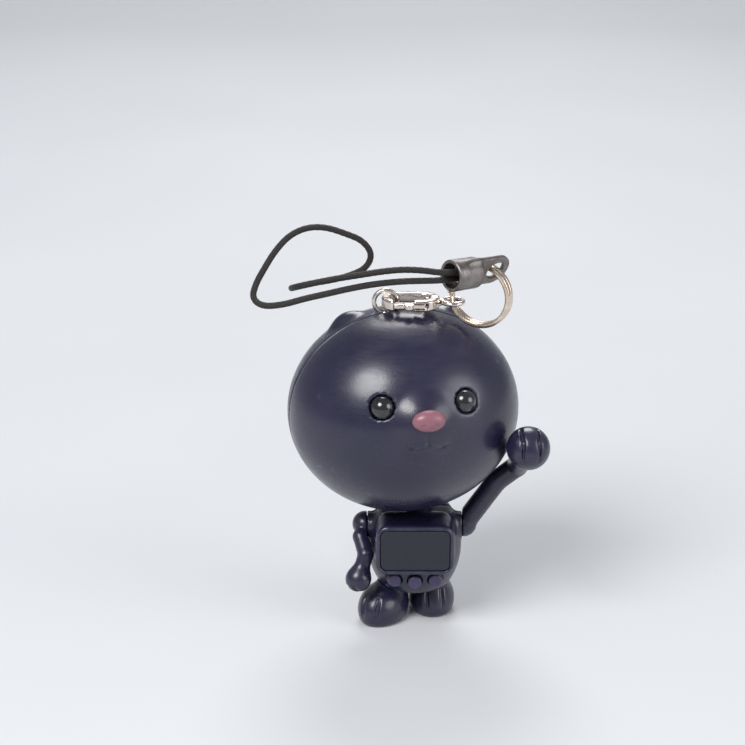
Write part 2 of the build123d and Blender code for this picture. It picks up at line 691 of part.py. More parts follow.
def clasp_body():
    body = clasp_band(CLASP_THICK)
    edges = body.edges().filter_by(lambda e: abs(abs(e.center().Z) - CLASP_THICK / 2) < 0.01)
    body = fillet(edges, 0.4)
    inner = -CLASP_WIDTH / 2 + CLASP_BAND + 0.3
    body -= block(GATE_START, GATE_END, -BIG, inner, BIG)
    body -= block(GATE_END - 1, CLEVIS_END, -BIG, inner, LEVER_THICK + 2 * LEVER_GAP)
    body -= Pos(PIVOT_X, FRONT_BAND_Y, 0) * Cylinder(PIVOT_RADIUS + SEAT_FIT, BIG)
    body -= rod_x(SWIVEL_POST_RADIUS + TURN_FIT, CLASP_END - 3, CLASP_END + 1)
    return CLASP * body


def clasp_lever():
    lever = clasp_band(LEVER_THICK)
    limit = -CLASP_WIDTH / 2 + CLASP_BAND + 0.2
    lever &= block(GATE_START + LEVER_GAP, PIVOT_X + 0.75, -BIG, limit, BIG)
    thumb = Pos(THUMB_X, -CLASP_WIDTH / 2, 0) * Cylinder(THUMB_RADIUS, LEVER_THICK)
    lever += thumb
    lever -= Pos(PIVOT_X, FRONT_BAND_Y, 0) * Cylinder(PIVOT_RADIUS + TURN_FIT, BIG)
    return CLASP * lever


def lever_pin():
    return CLASP * Pos(PIVOT_X, FRONT_BAND_Y, 0) * Cylinder(PIVOT_RADIUS, CLASP_THICK - 0.1)


SWIVEL_X = CLASP_END + 0.2 + SWIVEL_EYE_RADIUS + SWIVEL_EYE_WIRE


def swivel_eye():
    head_end = CLASP_END - CLASP_BAND - 0.25
    head = rod_x(SWIVEL_HEAD_RADIUS, head_end - SWIVEL_HEAD, head_end)
    post = rod_x(SWIVEL_POST_RADIUS, head_end - 0.1, SWIVEL_X - SWIVEL_EYE_RADIUS)
    eye_loop = Pos(SWIVEL_X, 0, 0) * Torus(SWIVEL_EYE_RADIUS, SWIVEL_EYE_WIRE)
    return CLASP * (head + post + eye_loop)


SWIVEL_POINT = EYELET_POINT + Vector(SWIVEL_X, 0, 0)
RING_REACH = math.sqrt(RING_RADIUS**2 - RING_LIFT**2)
TURN = math.radians(RING_TURN)
RING_OUTWARD = Vector(math.cos(TURN), -math.sin(TURN), 0)
RING_AXIS = Vector(math.sin(TURN), math.cos(TURN), 0)
RING_CENTRE = SWIVEL_POINT + RING_OUTWARD * RING_REACH + Vector(0, 0, RING_LIFT)
RING_PLANE = Plane(origin=RING_CENTRE, x_dir=RING_OUTWARD, z_dir=RING_AXIS * -1)


def sector(start, end, thick, z):
    """Part of the ring's flat band between two angles, thick along its axis."""
    sweep_angle = end - start
    section = Plane.XZ * Pos(RING_RADIUS, 0) * Rectangle(RING_WIRE, thick)
    band = revolve(section, Axis.Z, revolution_arc=sweep_angle)
    return Pos(0, 0, z) * Rot(0, 0, start) * band


def split_ring():
    """Two turns of flat wire, joined where one steps over to the other."""
    half = RING_WIRE / 2 + 0.03
    step = 200.0
    low = sector(step, step + 360 - RING_GAP_ANGLE, RING_WIRE, -half)
    high = sector(step + RING_GAP_ANGLE, step + 360, RING_WIRE, half)
    bridge = sector(step + RING_GAP_ANGLE, step + 2.4 * RING_GAP_ANGLE, 2 * half, 0)
    return RING_PLANE * (low + high + bridge)


CAP_RADIANS = math.radians(CAP_ANGLE)
CAP_POINT = (
    RING_CENTRE
    + RING_OUTWARD * (RING_RADIUS * math.cos(CAP_RADIANS))
    + Vector(0, 0, RING_RADIUS * math.sin(CAP_RADIANS))
)
RING_TANGENT = RING_OUTWARD * -math.sin(CAP_RADIANS) + Vector(0, 0, math.cos(CAP_RADIANS))
CAP_AXIS = Vector(*CAP_DIRECTION).normalized()
CAP_NORMAL = (RING_TANGENT - CAP_AXIS * RING_TANGENT.dot(CAP_AXIS)).normalized()
CAP_FRAME = Plane(origin=CAP_POINT, x_dir=CAP_AXIS, z_dir=CAP_NORMAL)


def cord_cap():
    plate_length = CAP_CUP_START + CAP_WIDTH / 2 + 1
    plate = Pos(plate_length / 2 - CAP_WIDTH / 2, 0, 0) * stadium(plate_length, CAP_WIDTH, CAP_PLATE)
    cup = rod_x(CAP_CUP_RADIUS, CAP_CUP_START, CAP_LENGTH)
    cup = fillet(cup.edges().filter_by(GeomType.CIRCLE).sort_by(Axis.X)[0], 1.2)
    cap = plate + cup
    cap -= Cylinder(CAP_HOLE_RADIUS, BIG)
    cap -= rod_x(CAP_BORE_RADIUS, CAP_LENGTH - CAP_BORE_DEPTH, CAP_LENGTH + 1)
    return CAP_FRAME * cap


def cap_point(x, y, z=0.0):
    return CAP_FRAME.from_local_coords(Vector(x, y, z))


CORD_ROUTE = [
    (1.1, -11.8, 68.6),
    (-2.4, -12.2, 68.9),
    (-6.2, -12.5, 68.6),
    (-10.1, -12.7, 68.0),
    (-13.8, -12.7, 67.4),
    (-17.5, -12.6, 66.6),
    (-20.2, -11.5, 65.6),
    (-21.5, -8.1, 64.2),
    (-20.4, -4.8, 63.5),
    (-17.7, -3.2, 63.6),
    (-14.3, -3.1, 64.1),
    (-11.0, -3.3, 65.1),
    (-8.5, -3.7, 66.5),
    (-7.5, -3.8, 69.0),
    (-9.2, -3.7, 71.4),
    (-12.2, -3.6, 72.6),
    (-15.4, -3.6, 73.7),
    (-18.6, -4.0, 73.8),
    (-21.6, -5.1, 72.7),
    (-24.0, -6.7, 70.4),
    (-25.8, -8.9, 67.9),
    (-27.1, -10.9, 66.0),
    (-27.7, -13.0, 64.1),
    (-25.9, -14.7, 63.2),
    (-22.4, -15.0, 63.6),
    (-18.9, -14.8, 64.6),
    (-15.4, -14.5, 65.3),
    (-11.6, -14.1, 66.1),
    (-7.4, -13.4, 66.7),
    (-3.2, -12.9, 67.0),
    (0.6, -12.5, 67.0),
]


def cord_radii(points):
    """Radius of the arc at each inner point: 0.45 of the shorter run over tan(half turn)."""
    radii = []
    for before, here, after in zip(points, points[1:], points[2:]):
        run_in = here - before
        run_out = after - here
        half_turn = math.radians(run_in.get_angle(run_out)) / 2
        radii.append(0.45 * min(run_in.length, run_out.length) / math.tan(half_turn))
    return radii


def strap_cord():
    floor = CAP_LENGTH - CAP_BORE_DEPTH
    mouth = CAP_LENGTH + CORD_LEAD
    offset_y = CORD_SPACING / 2
    start = [cap_point(floor, offset_y), cap_point(mouth, offset_y)]
    end = [cap_point(mouth, -offset_y), cap_point(floor, -offset_y)]
    points = start + [Vector(*p) for p in CORD_ROUTE] + end
    radii = cord_radii(points)
    print("cord radii", [round(r, 1) for r in radii])
    path = FilletPolyline(*points, radius=radii)
    section = Plane(origin=path @ 0, z_dir=path % 0) * Circle(CORD_DIAMETER / 2)
    tube = sweep(section, path=path)
    ideal = math.pi * CORD_DIAMETER**2 / 4 * path.length
    print("cord length", round(path.length, 1), "volume", round(tube.volume / ideal, 4))
    return tube


# --- write the nodes ----------------------------------------------------------
NODES = {
    "head_front_shell": NECK * head_shell(True),
    "head_rear_shell": NECK * head_shell(False),
    "eye_left": NECK * eye(-1),
    "eye_right": NECK * eye(1),
    "nose": NECK * nose(),
    "strap_eyelet": NECK * strap_eyelet(),
    "neck_pin": NECK * neck_pin(),
    "torso_front_shell": torso_front(),
    "torso_rear_shell": torso_rear(),
    "battery_door": battery_door(),
    "door_screw": screw(DOOR_SCREW_HEAD_Y, DOOR_SCREW_LENGTH, 0, DOOR_SCREW_Z),
    "case_screws": case_screws(),
    "display_lens": display_lens(),
    "display_panel": display_panel(),
    "display_connector": display_connector(),
    "circuit_board": circuit_board(),
    "controller_chip": controller_chip(),
    "switch_domes": switch_domes(),
    "buzzer_disc": buzzer_disc(),
    "button_cell_front": button_cell(0),
    "button_cell_rear": button_cell(1),
    "contact_spring": contact_spring(),
    "contact_strip": contact_strip(),
    "button_left": button(-BUTTON_PITCH),
    "button_middle": button(0.0),
    "button_right": button(BUTTON_PITCH),
    "arm_left": arm_left(),
    "arm_right": arm_right(),
    "foot_left": foot(LEFT_FOOT, LEFT_FOOT_TURN, LEFT_LEG),
    "foot_right": foot(RIGHT_FOOT, RIGHT_FOOT_TURN, RIGHT_LEG),
    "clasp_body": clasp_body(),
    "clasp_lever": clasp_lever(),
    "lever_pin": lever_pin(),
    "swivel_eye": swivel_eye(),
    "split_ring": split_ring(),
    "cord_cap": cord_cap(),
    "strap_cord": strap_cord(),
}

for name, shape in NODES.items():
    export_step(shape, f"parts/{name}.step")
print("eyelet", EYELET_POINT, "swivel", SWIVEL_POINT, "ring", RING_CENTRE)
print("cap point", CAP_POINT, "tangent", RING_TANGENT)
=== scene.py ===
"""Virtual pet keychain: moulded figure with a belly display, strap hardware and a doubled cord."""
import json
import math

import bmesh
import bpy
import numpy as np
from mathutils import Matrix, Vector


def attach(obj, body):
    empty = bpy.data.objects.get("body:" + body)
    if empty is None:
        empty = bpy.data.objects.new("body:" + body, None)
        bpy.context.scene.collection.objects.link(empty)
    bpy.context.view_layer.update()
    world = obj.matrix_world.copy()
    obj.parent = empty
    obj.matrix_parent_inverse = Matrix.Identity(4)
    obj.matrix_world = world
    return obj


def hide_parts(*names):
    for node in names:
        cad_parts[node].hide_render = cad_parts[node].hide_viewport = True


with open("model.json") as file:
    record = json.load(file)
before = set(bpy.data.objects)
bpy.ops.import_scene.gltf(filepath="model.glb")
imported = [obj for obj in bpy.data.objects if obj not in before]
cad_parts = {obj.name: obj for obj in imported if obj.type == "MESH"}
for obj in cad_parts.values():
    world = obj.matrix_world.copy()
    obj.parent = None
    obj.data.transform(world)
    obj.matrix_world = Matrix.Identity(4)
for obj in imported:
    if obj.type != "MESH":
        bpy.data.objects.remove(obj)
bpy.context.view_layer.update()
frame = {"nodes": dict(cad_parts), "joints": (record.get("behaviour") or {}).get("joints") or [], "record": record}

MM = 0.001
BIG = 40.0    # longer than any piece
nodes = frame["nodes"]
joints = {joint["name"]: joint for joint in frame["joints"]}

# --- joints of the frame: points in millimetres, and axes ---
HEAD_JOINT = joints["head_turn"]
NECK_POINT = Vector(HEAD_JOINT["pos_m"]) / MM
HEAD_AXIS = Vector(HEAD_JOINT["axis"])
HEAD_TILT = math.atan2(-HEAD_AXIS.x, HEAD_AXIS.z)
CLASP_POINT = Vector(joints["clasp_swing"]["pos_m"]) / MM
SWIVEL_POINT = Vector(joints["swivel_spin"]["pos_m"]) / MM
CAP_POINT = Vector(joints["cap_swing"]["pos_m"]) / MM
RING_TANGENT = Vector(joints["cap_swing"]["axis"]).normalized()

# --- head, in the frame of the face with the origin at the skull's centre ---
HEAD_HALF = (20.4, 18.2, 18.2)
HEAD_WALL = 1.8
HEAD_TURN = math.radians(12.5)
NECK_GAP = 0.4
MUZZLE_PLACE = (0, -14.4, 2.4)
MUZZLE_HALF = (6.2, 5.0, 6.2)
EAR_PLACE = (8.4, 3.4, 13.3)
EAR_HALF = (4.0, 2.48, 4.0)
EAR_DISH_PLACE = (8.4, -0.5, 13.7)
EAR_DISH_RADIUS = 2.9
EYE_X = 7.4
EYE_Z = 6.4
EYE_RADIUS = 2.1
EYE_SINK = 0.9
EYE_GAP = 0.12
EYE_BACK = 1.0           # depth of the bead's back below the skull's surface
NOSE_PLACE = (0, -19.1, 4.6)
NOSE_HALF = (2.9, 1.6, 1.9)
NOSTRIL_PLACE = (1.25, -20.8, 4.1)
NOSTRIL_RADIUS = 0.5
SMILE_TOP = (0, -19.4, 2.6)
SMILE_FORK = (0, -19.0, 0.0)
SMILE_DIP = (1.9, -18.6, -0.9)
SMILE_END = (3.5, -18.1, -0.2)
SMILE_RADIUS = 0.24
SMILE_END_RADIUS = 0.16
NECK_BORE = 2.3
EYELET_BORE = 0.75
SEAM_HALF_GAP = 0.04
SEAM_ROUND = 0.35

# --- body ---
BODY_HALF = (8.4, 8.4, 10.6)
BODY_PLACE = (0, 0, 13.8)
BODY_BOTTOM = 6.2
BODY_TOP = 21.0
BODY_WALL = 1.4
SHOULDER_X = 8.8
SHOULDER_Z = 17.4
SHOULDER_RADIUS = 2.3
SHOULDER_FACE_X = 8.4
SHOULDER_GAP = 0.1
SCREEN_Z = 16.2
BEZEL_SIZE = (13.8, 9.4)
BEZEL_CORNER = 2.2
BEZEL_FRONT = -9.6
BEZEL_BACK = -3.0
BEZEL_ROUND = 0.8
LENS_SIZE = (12.2, 7.6)
LENS_CORNER = 1.2
LENS_FRONT = -9.4
LENS_BACK = -8.4
LENS_ROUND = 0.18
LENS_GAP = 0.08
VIEW_SIZE = (10.4, 5.8)
VIEW_CORNER = 0.6
PANEL_POCKET = (12.1, 7.9)
PANEL_POCKET_CORNER = 0.3
PANEL_POCKET_FRONT = -7.9
PANEL_POCKET_BACK = -2.1
DOT_PITCH = 0.32
BUTTON_Z = 9.6
BUTTON_PITCH = 3.6
BUTTON_RADIUS = 1.2
BUTTON_PROUD = 0.9
BUTTON_GAP = 0.15
BUTTON_DISH_RADIUS = 3.12
BUTTON_DISH = 0.12       # depth of the finger dish
BUTTON_FLANGE_RADIUS = 1.65
BUTTON_FLANGE_DEPTH = 1.5  # its middle, below the outer surface
DOOR_INNER = 5.9
DOOR_RADIUS = 5.1
DOOR_TAB_RADIUS = 1.9
DOOR_SCREW_Z = 8.7
DOOR_SCREW_SEAT = 0.5
DOOR_GAP = 0.12          # what the recess gives it all round
DOOR_TRIM = 0.05         # and what the door itself draws in
GRIP_Z = 17.0
GRIP_PITCH = 0.8
GRIP_REACH = 2.2
GRIP_RADIUS = 0.28
CELL_Z = 13.8
CELL_HOLE_RADIUS = 4.1
CUP_WALL = 0.6
CASE_SCREW_X = 4.3
CASE_SCREW_Z = 8.8
CASE_SCREW_HEAD_Y = 4.6
SCREW_BOSS_RADIUS = 1.7
SCREW_HEAD_HOLE = 1.42
SCREW_HOLE = 0.78

# --- limbs ---
LOW_BENDS = [(-9.6, -2.4, 15.9), (-8.7, -5.0, 13.6)]
LOW_PAW = (-10.0, -6.2, 9.4)
LOW_LIMB_RADIUS = 1.4
LOW_PAW_RADIUS = 2.3
RAISED_BENDS = [(14.6, 1.0, 25.3), (18.2, 0.4, 28.4)]
RAISED_PAW = (19.4, -9.8, 35.8)
RAISED_LIMB_RADIUS = 1.9
RAISED_PAW_RADIUS = 3.8
ARM_PEG_RADIUS = 1.4
ARM_PEG_GAP = 0.08
ARM_PEG_END = 5.3
FINGER_REACH = 0.98      # ends of the two finger grooves, in shares of the paw's radius:
FINGER_SPREAD = 0.374    # out along the arm, to each side,
FINGER_RISE = 0.75       # up and down,
FINGER_BACK = 0.45       # and back at the top and bottom
FOOT_HALF = (4.2, 5.6, 4.6)
TOE_X = 1.35
TOE_HIGH = (0.72, 3.0)   # top of a toe groove: share of the half length, height over the middle
FOOT_Z = 2.2
LEFT_FOOT = (-5.6, -2.0)
LEFT_FOOT_TURN = math.radians(-28)
RIGHT_FOOT = (3.1, 2.4)
RIGHT_FOOT_TURN = math.radians(6)
LEG_RADIUS = 2.6
LEFT_LEG = (-3.9, -1.0)
RIGHT_LEG = (3.3, 0.8)

# --- strap ---
EYELET_RISE = 1.6
EYELET_RADIUS = 2.02
WIRE = 0.42
CLASP_HALF = (5.0, 3.1, 1.0)
CLASP_BAND = 1.5
CLASP_MIDDLE = 4.25
CLASP_END = 9.25
GATE = (1.3, 4.9)
CLEVIS = (3.9, 7.4)
CLEVIS_HALF = 0.55
PIVOT_X = 6.0
THUMB_X = 4.0
THUMB_RADIUS = 0.8
THUMB_GROOVE_PITCH = 0.45
LEVER_HALF = 0.45
SWIVEL_X = 11.62
SWIVEL_EYE_RADIUS = 1.75
SWIVEL_POST_RADIUS = 0.48
SWIVEL_HEAD_RADIUS = 0.8
RING_RADIUS = 5.5
RING_WIRE = 0.9
RING_SQUARE = 0.55       # 1 is a round wire, 0 a square one
RING_TURN = math.radians(27)
RING_LIFT = 2.1
CAP_DIRECTION = (-0.76, -0.64, 0.085)
CAP_WIDTH = 6.0
CAP_PLATE = 0.8
CAP_HOLE_RADIUS = 1.7
CAP_CUP_RADIUS = 2.7
CAP_CUP_START = 4.0
CAP_LENGTH = 10.0
CAP_BORE_RADIUS = 2.1
CAP_BORE_DEPTH = 2.8
CORD_DIAMETER = 1.1
CORD_STEP = 0.12         # spacing of the tube's rings
STRANDS = 8
BRAID_PITCH = 1.1
BRAID_RELIEF = 0.035     # share of the cord's radius
CORD_SPACING = 1.6
CORD_LEAD = 1.6

# --- camera ---
AZIMUTH = 0.0
ELEVATION = math.radians(20)
VIEW_RIGHT = -7.5        # middle of the picture along the camera's right, from the origin
VIEW_UP = 43.35          # and along its up
DISTANCE = 450.0
LENS = 120.0


def make_camera():
    back = Vector((
        math.sin(AZIMUTH) * math.cos(ELEVATION),
        -math.cos(AZIMUTH) * math.cos(ELEVATION),
        math.sin(ELEVATION),
    ))
    right = Vector((math.cos(AZIMUTH), math.sin(AZIMUTH), 0))
    up = back.cross(right)
    camera = bpy.data.objects.new("camera", bpy.data.cameras.new("camera"))
    bpy.context.scene.collection.objects.link(camera)
    camera.data.lens = LENS
    camera.data.sensor_width = 36
    camera.data.clip_start = 0.01
    turn = Matrix((right, up, back)).transposed().to_4x4()
    place = (right * VIEW_RIGHT + up * VIEW_UP + back * DISTANCE) * MM
    camera.matrix_world = Matrix.Translation(place) @ turn
    bpy.context.scene.camera = camera


# --- distance fields: p is an array of points in millimetres ---
def ellipsoid(p, place, half):
    q = p - np.array(place)
    near = np.linalg.norm(q / np.array(half), axis=1)
    slope = np.linalg.norm(q / np.array(half) ** 2, axis=1)
    return near * (near - 1) / np.maximum(slope, 1e-6)


def ball(p, place, radius):
    return np.linalg.norm(p - np.array(place), axis=1) - radius


def capsule(p, start, end, radius_start, radius_end):
    a = np.array(start, float)
    run = np.array(end, float) - a
    share = np.clip((p - a) @ run / (run @ run), 0, 1)
    radius = radius_start + (radius_end - radius_start) * share
    return np.linalg.norm(p - a - share[:, None] * run, axis=1) - radius


def bevelled(side, end, edge):
    """Solid bounded by two fields, already drawn in by edge, with its rim rounded."""
    outside = np.hypot(np.maximum(side, 0), np.maximum(end, 0))
    return np.minimum(np.maximum(side, end), 0) + outside - edge


def rod(p, place, axis, radius, half_length, edge=0.1):
    """Round bar along the axis X (0), Y (1) or Z (2), its rims rounded."""
    q = p - np.array(place)
    across = np.delete(q, axis, axis=1)
    side = np.linalg.norm(across, axis=1) - radius + edge
    return bevelled(side, np.abs(q[:, axis]) - half_length + edge, edge)


def plate(p, front, back, size, corner, edge):
    """Rounded rectangle about the screen's middle, size (width, height), from front to back."""
    q = np.abs(p - np.array((0, (front + back) / 2, SCREEN_Z)))
    over = np.stack([q[:, 0] - size[0] / 2 + corner, q[:, 2] - size[1] / 2 + corner], 1)
    outline = np.linalg.norm(np.maximum(over, 0), axis=1) + np.minimum(over.max(1), 0) - corner
    return bevelled(outline + edge, q[:, 1] - (back - front) / 2 + edge, edge)


def block(p, low, high, edge=0.1):
    middle = (np.array(low) + np.array(high)) / 2
    half = (np.array(high) - np.array(low)) / 2
    over = np.abs(p - middle) - half + edge
    return np.linalg.norm(np.maximum(over, 0), axis=1) + np.minimum(over.max(1), 0) - edge


def torus(p, place, axis, radius, wire):
    q = p - np.array(place)
    across = np.linalg.norm(np.delete(q, axis, axis=1), axis=1) - radius
    return np.hypot(across, q[:, axis]) - wire


def mirrored(place, side):
    """The place on the left, -1, or as it is, 1."""
    return (side * place[0], place[1], place[2])


def join(a, b, soft=0.0):
    """Union, blended over a fillet of the given size."""
    if not soft:
        return np.minimum(a, b)
    share = np.clip(0.5 + 0.5 * (b - a) / soft, 0, 1)
    return b + (a - b) * share - soft * share * (1 - share)


def keep(a, b, soft=0.0):
    """Intersection with a rounded edge."""
    return -join(-a, -b, soft)


def cut(a, b, soft=0.0):
    return keep(a, -b, soft)


# --- from field to mesh ---
CHUNK = 400000    # points worked out at once


def sample(field, low, high, step):
    axes = [np.arange(math.floor(low[i] / step) - 1.5, high[i] / step + 2) * step for i in range(3)]
    grid = np.stack(np.meshgrid(*axes, indexing="ij"), -1)
    flat = grid.reshape(-1, 3)
    parts = np.array_split(flat, max(1, len(flat) // CHUNK))
    values = np.concatenate([field(part) for part in parts])
    return np.array([a[0] for a in axes]), values.reshape(grid.shape[:3])


def pick(shape, axis, starts):
    """Slices of the grid edges along an axis, shifted by starts in the other two directions."""
    slices = []
    for other in range(3):
        if other == axis:
            slices.append(slice(0, shape[other] - 1))
        else:
            start = starts[other]
            slices.append(slice(start, start + shape[other] - 1))
    return tuple(slices)


def net(values):
    """Surface net of a sampled field: one point in each cell that the surface crosses, and quads."""
    inside = values < 0
    shape = values.shape
    cells = tuple(n - 1 for n in shape)
    total = np.zeros(cells + (3,))
    count = np.zeros(cells)
    crossings = []
    for axis in range(3):
        first = [slice(None)] * 3
        second = [slice(None)] * 3
        first[axis] = slice(0, -1)
        second[axis] = slice(1, None)
        a = values[tuple(first)]
        b = values[tuple(second)]
        crossed = inside[tuple(first)] != inside[tuple(second)]
        share = np.where(crossed, a / np.where(crossed, a - b, 1), 0)
        crossings.append((crossed, inside[tuple(first)]))
        others = [o for o in range(3) if o != axis]
        for shift in ((0, 0), (0, 1), (1, 0), (1, 1)):
            starts = [0, 0, 0]
            starts[others[0]] = shift[0]
            starts[others[1]] = shift[1]
            view = pick(shape, axis, starts)
            here = crossed[view]
            count += here
            total[..., axis] += share[view]
            total[..., others[0]] += shift[0] * here
            total[..., others[1]] += shift[1] * here
    used = count > 0
    index = np.full(cells, -1)
    index[used] = np.arange(used.sum())
    points = np.argwhere(used) + total[used] / count[used][:, None]
    quads = []
    for axis, (crossed, start_inside) in enumerate(crossings):
        u, v = [(axis + 1) % 3, (axis + 2) % 3]
        places = np.argwhere(crossed)
        good = (places[:, u] > 0) & (places[:, v] > 0)
        good &= (places[:, u] < cells[u]) & (places[:, v] < cells[v])
        places = places[good]
        corners = []
        for du, dv in ((1, 1), (0, 1), (0, 0), (1, 0)):
            cell = places.copy()
            cell[:, u] -= du
            cell[:, v] -= dv
            corners.append(index[tuple(cell.T)])
        faces = np.stack(corners, 1)
        outward = start_inside[tuple(places.T)]
        faces[~outward] = faces[~outward][:, ::-1]
        quads.append(faces)
    return points, np.concatenate(quads)


def settle(points, field, step):
    """Moves the points onto the zero level of the field along its slope."""
    tiny = 0.02
    for _ in range(3):
        value = field(points)
        slope = np.zeros_like(points)
        for axis in range(3):
            shift = np.zeros(3)
            shift[axis] = tiny
            slope[:, axis] = (field(points + shift) - field(points - shift)) / (2 * tiny)
        size = np.maximum((slope**2).sum(1), 0.25)
        move = slope * (value / size)[:, None]
        length = np.linalg.norm(move, axis=1, keepdims=True)
        points = points - move * np.minimum(1, 0.4 * step / np.maximum(length, 1e-9))
    return points


def add_piece(name, mesh):
    """Smooth object of a mesh, in the scene."""
    mesh.polygons.foreach_set("use_smooth", np.ones(len(mesh.polygons), bool))
    mesh.update()
    piece = bpy.data.objects.new(name, mesh)
    bpy.context.scene.collection.objects.link(piece)
    return piece


def add_drawn(name, drawing):
    """Smooth object of a bmesh, which this frees."""
    mesh = bpy.data.meshes.new(name)
    drawing.to_mesh(mesh)
    drawing.free()
    return add_piece(name, mesh)


def mould(name, field, low, high, step, place=None):
    """Object of a distance field in millimetres, turned and placed by a matrix in millimetres."""
    start, values = sample(field, low, high, step)
    points, quads = net(values)
    points = settle(points * step + start, field, step)
    mesh = bpy.data.meshes.new(name)
    mesh.from_pydata((points * MM).tolist(), [], quads.tolist())
    piece = add_piece(name, mesh)
    if place is not None:
        in_metres = place.copy()
        in_metres.translation = place.translation * MM
        mesh.transform(in_metres)
    return piece


def skin(drawing, rows):
    """Tube through closed rows of vertices, with a cap at each end; gives back its quads."""
    corners = len(rows[0])
    quads = []
    for before, after in zip(rows, rows[1:]):
        for corner in range(corners):
            following = (corner + 1) % corners
            face = (before[corner], before[following], after[following], after[corner])
            quads.append(drawing.faces.new(face))
    drawing.faces.new(rows[0][::-1])
    drawing.faces.new(rows[-1])
    return quads


def dress(piece, materials, body, slot, node):
    """Puts a piece on its body and in place of its CAD node, with the material of its slot."""
    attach(piece, body)
    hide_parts(node)
    piece.data.materials.clear()
    piece.data.materials.append(materials[slot])


# --- materials ---
def linked(tree, kind, inputs=None, **settings):
    node = tree.nodes.new(kind)
    for key, value in settings.items():
        setattr(node, key, value)
    for key, value in (inputs or {}).items():
        if isinstance(value, bpy.types.NodeSocket):
            tree.links.new(value, node.inputs[key])
        else:
            node.inputs[key].default_value = value
    return node


def ramp(tree, value, stops):
    node = linked(tree, "ShaderNodeValToRGB", {"Fac": value})
    for extra in stops[2:]:
        node.color_ramp.elements.new(extra[0])
    for element, (position, colour) in zip(node.color_ramp.elements, stops):
        element.position = position
        element.color = (*colour, 1) if len(colour) == 3 else colour
    return node.outputs["Color"]


def noise(tree, where, scale, detail=4.0, rough=0.6):
    inputs = {"Vector": where, "Scale": scale, "Detail": detail, "Roughness": rough}
    return linked(tree, "ShaderNodeTexNoise", inputs).outputs["Fac"]


def fresh(name):
    material = bpy.data.materials.new(name)
    material.use_nodes = True
    tree = material.node_tree
    shader = tree.nodes["Principled BSDF"]
    where = tree.nodes.new("ShaderNodeTexCoord").outputs["Object"]
    return material, tree, shader, where


def grey(value):
    return (value, value, value)


def maths(tree, operation, *values):
    return linked(tree, "ShaderNodeMath", dict(enumerate(values)), operation=operation).outputs[0]


def roughen(tree, shader, pattern, low, high):
    """Roughness that follows a pattern; low and high are stops of (place, roughness)."""
    stops = [(low[0], grey(low[1])), (high[0], grey(high[1]))]
    tree.links.new(ramp(tree, pattern, stops), shader.inputs["Roughness"])


def bump(tree, shader, height, strength, distance):
    inputs = {"Height": height, "Strength": strength, "Distance": distance}
    node = linked(tree, "ShaderNodeBump", inputs)
    tree.links.new(node.outputs["Normal"], shader.inputs["Normal"])


def moulded_plastic(name, deep, pale, worn, gloss, coat):
    """Moulded plastic: cloudy pigment, fine surface grain, rubbed pale edges, hairline scratches."""
    material, tree, shader, where = fresh(name)
    cloud = noise(tree, where, 90.0, 3.0)
    pigment = ramp(tree, cloud, [(0.35, deep), (0.68, pale)])
    edge = tree.nodes.new("ShaderNodeNewGeometry").outputs["Pointiness"]
    rubbed = ramp(tree, edge, [(0.515, grey(0.0)), (0.60, grey(0.75))])
    patchy = ramp(tree, noise(tree, where, 420.0), [(0.42, grey(0.0)), (0.62, grey(1.0))])
    wear = maths(tree, "MULTIPLY", rubbed, patchy)
    mix = linked(tree, "ShaderNodeMix", data_type="RGBA")
    tree.links.new(wear, mix.inputs["Factor"])
    tree.links.new(pigment, mix.inputs["A"])
    mix.inputs["B"].default_value = (*worn, 1)
    tree.links.new(mix.outputs["Result"], shader.inputs["Base Color"])
    stretch = linked(tree, "ShaderNodeMapping", {"Vector": where, "Scale": (1.0, 1.0, 14.0)})
    scratch = noise(tree, stretch.outputs["Vector"], 260.0, 8.0, 0.75)
    smear = noise(tree, where, 140.0, 5.0)
    rough = maths(tree, "MULTIPLY", scratch, smear)
    roughen(tree, shader, rough, (0.12, gloss - 0.08), (0.42, gloss + 0.16))
    grain = noise(tree, where, 2600.0, 2.0)
    bump(tree, shader, grain, 0.22, 0.00006)
    shader.inputs["Coat Weight"].default_value = coat
    shader.inputs["Coat Roughness"].default_value = 0.18
    shader.inputs["IOR"].default_value = 1.53
    return material


def plated_metal(name, bright, tarnish_and_reflection_colour, rough):
    """Plated metal: tarnish spots and fine brushing. On the clasp and ring chromes the spots are partly tarnish
    and partly a painted warm reflection.
    """
    material, tree, shader, where = fresh(name)
    shader.inputs["Metallic"].default_value = 1.0
    tarnish_and_reflection = noise(tree, where, 520.0, 6.0, 0.7)
    # darker spot colour: tarnish, and on the two chromes also a painted warm reflection
    colour = ramp(tree, tarnish_and_reflection, [(0.38, bright), (0.66, tarnish_and_reflection_colour)])
    tree.links.new(colour, shader.inputs["Base Color"])
    hair = noise(tree, where, 1500.0, 6.0, 0.7)
    roughen(tree, shader, hair, (0.3, rough), (0.7, rough + 0.18))
    bump(tree, shader, hair, 0.12, 0.00004)
    return material


def smoked_lens():
    material, tree, shader, where = fresh("smoked_lens")
    shader.inputs["Base Color"].default_value = (0.035, 0.038, 0.06, 1)
    shader.inputs["Transmission Weight"].default_value = 0.55
    shader.inputs["IOR"].default_value = 1.49
    roughen(tree, shader, noise(tree, where, 300.0, 6.0), (0.4, 0.03), (0.75, 0.12))
    bump(tree, shader, noise(tree, where, 900.0), 0.05, 0.00003)
    return material


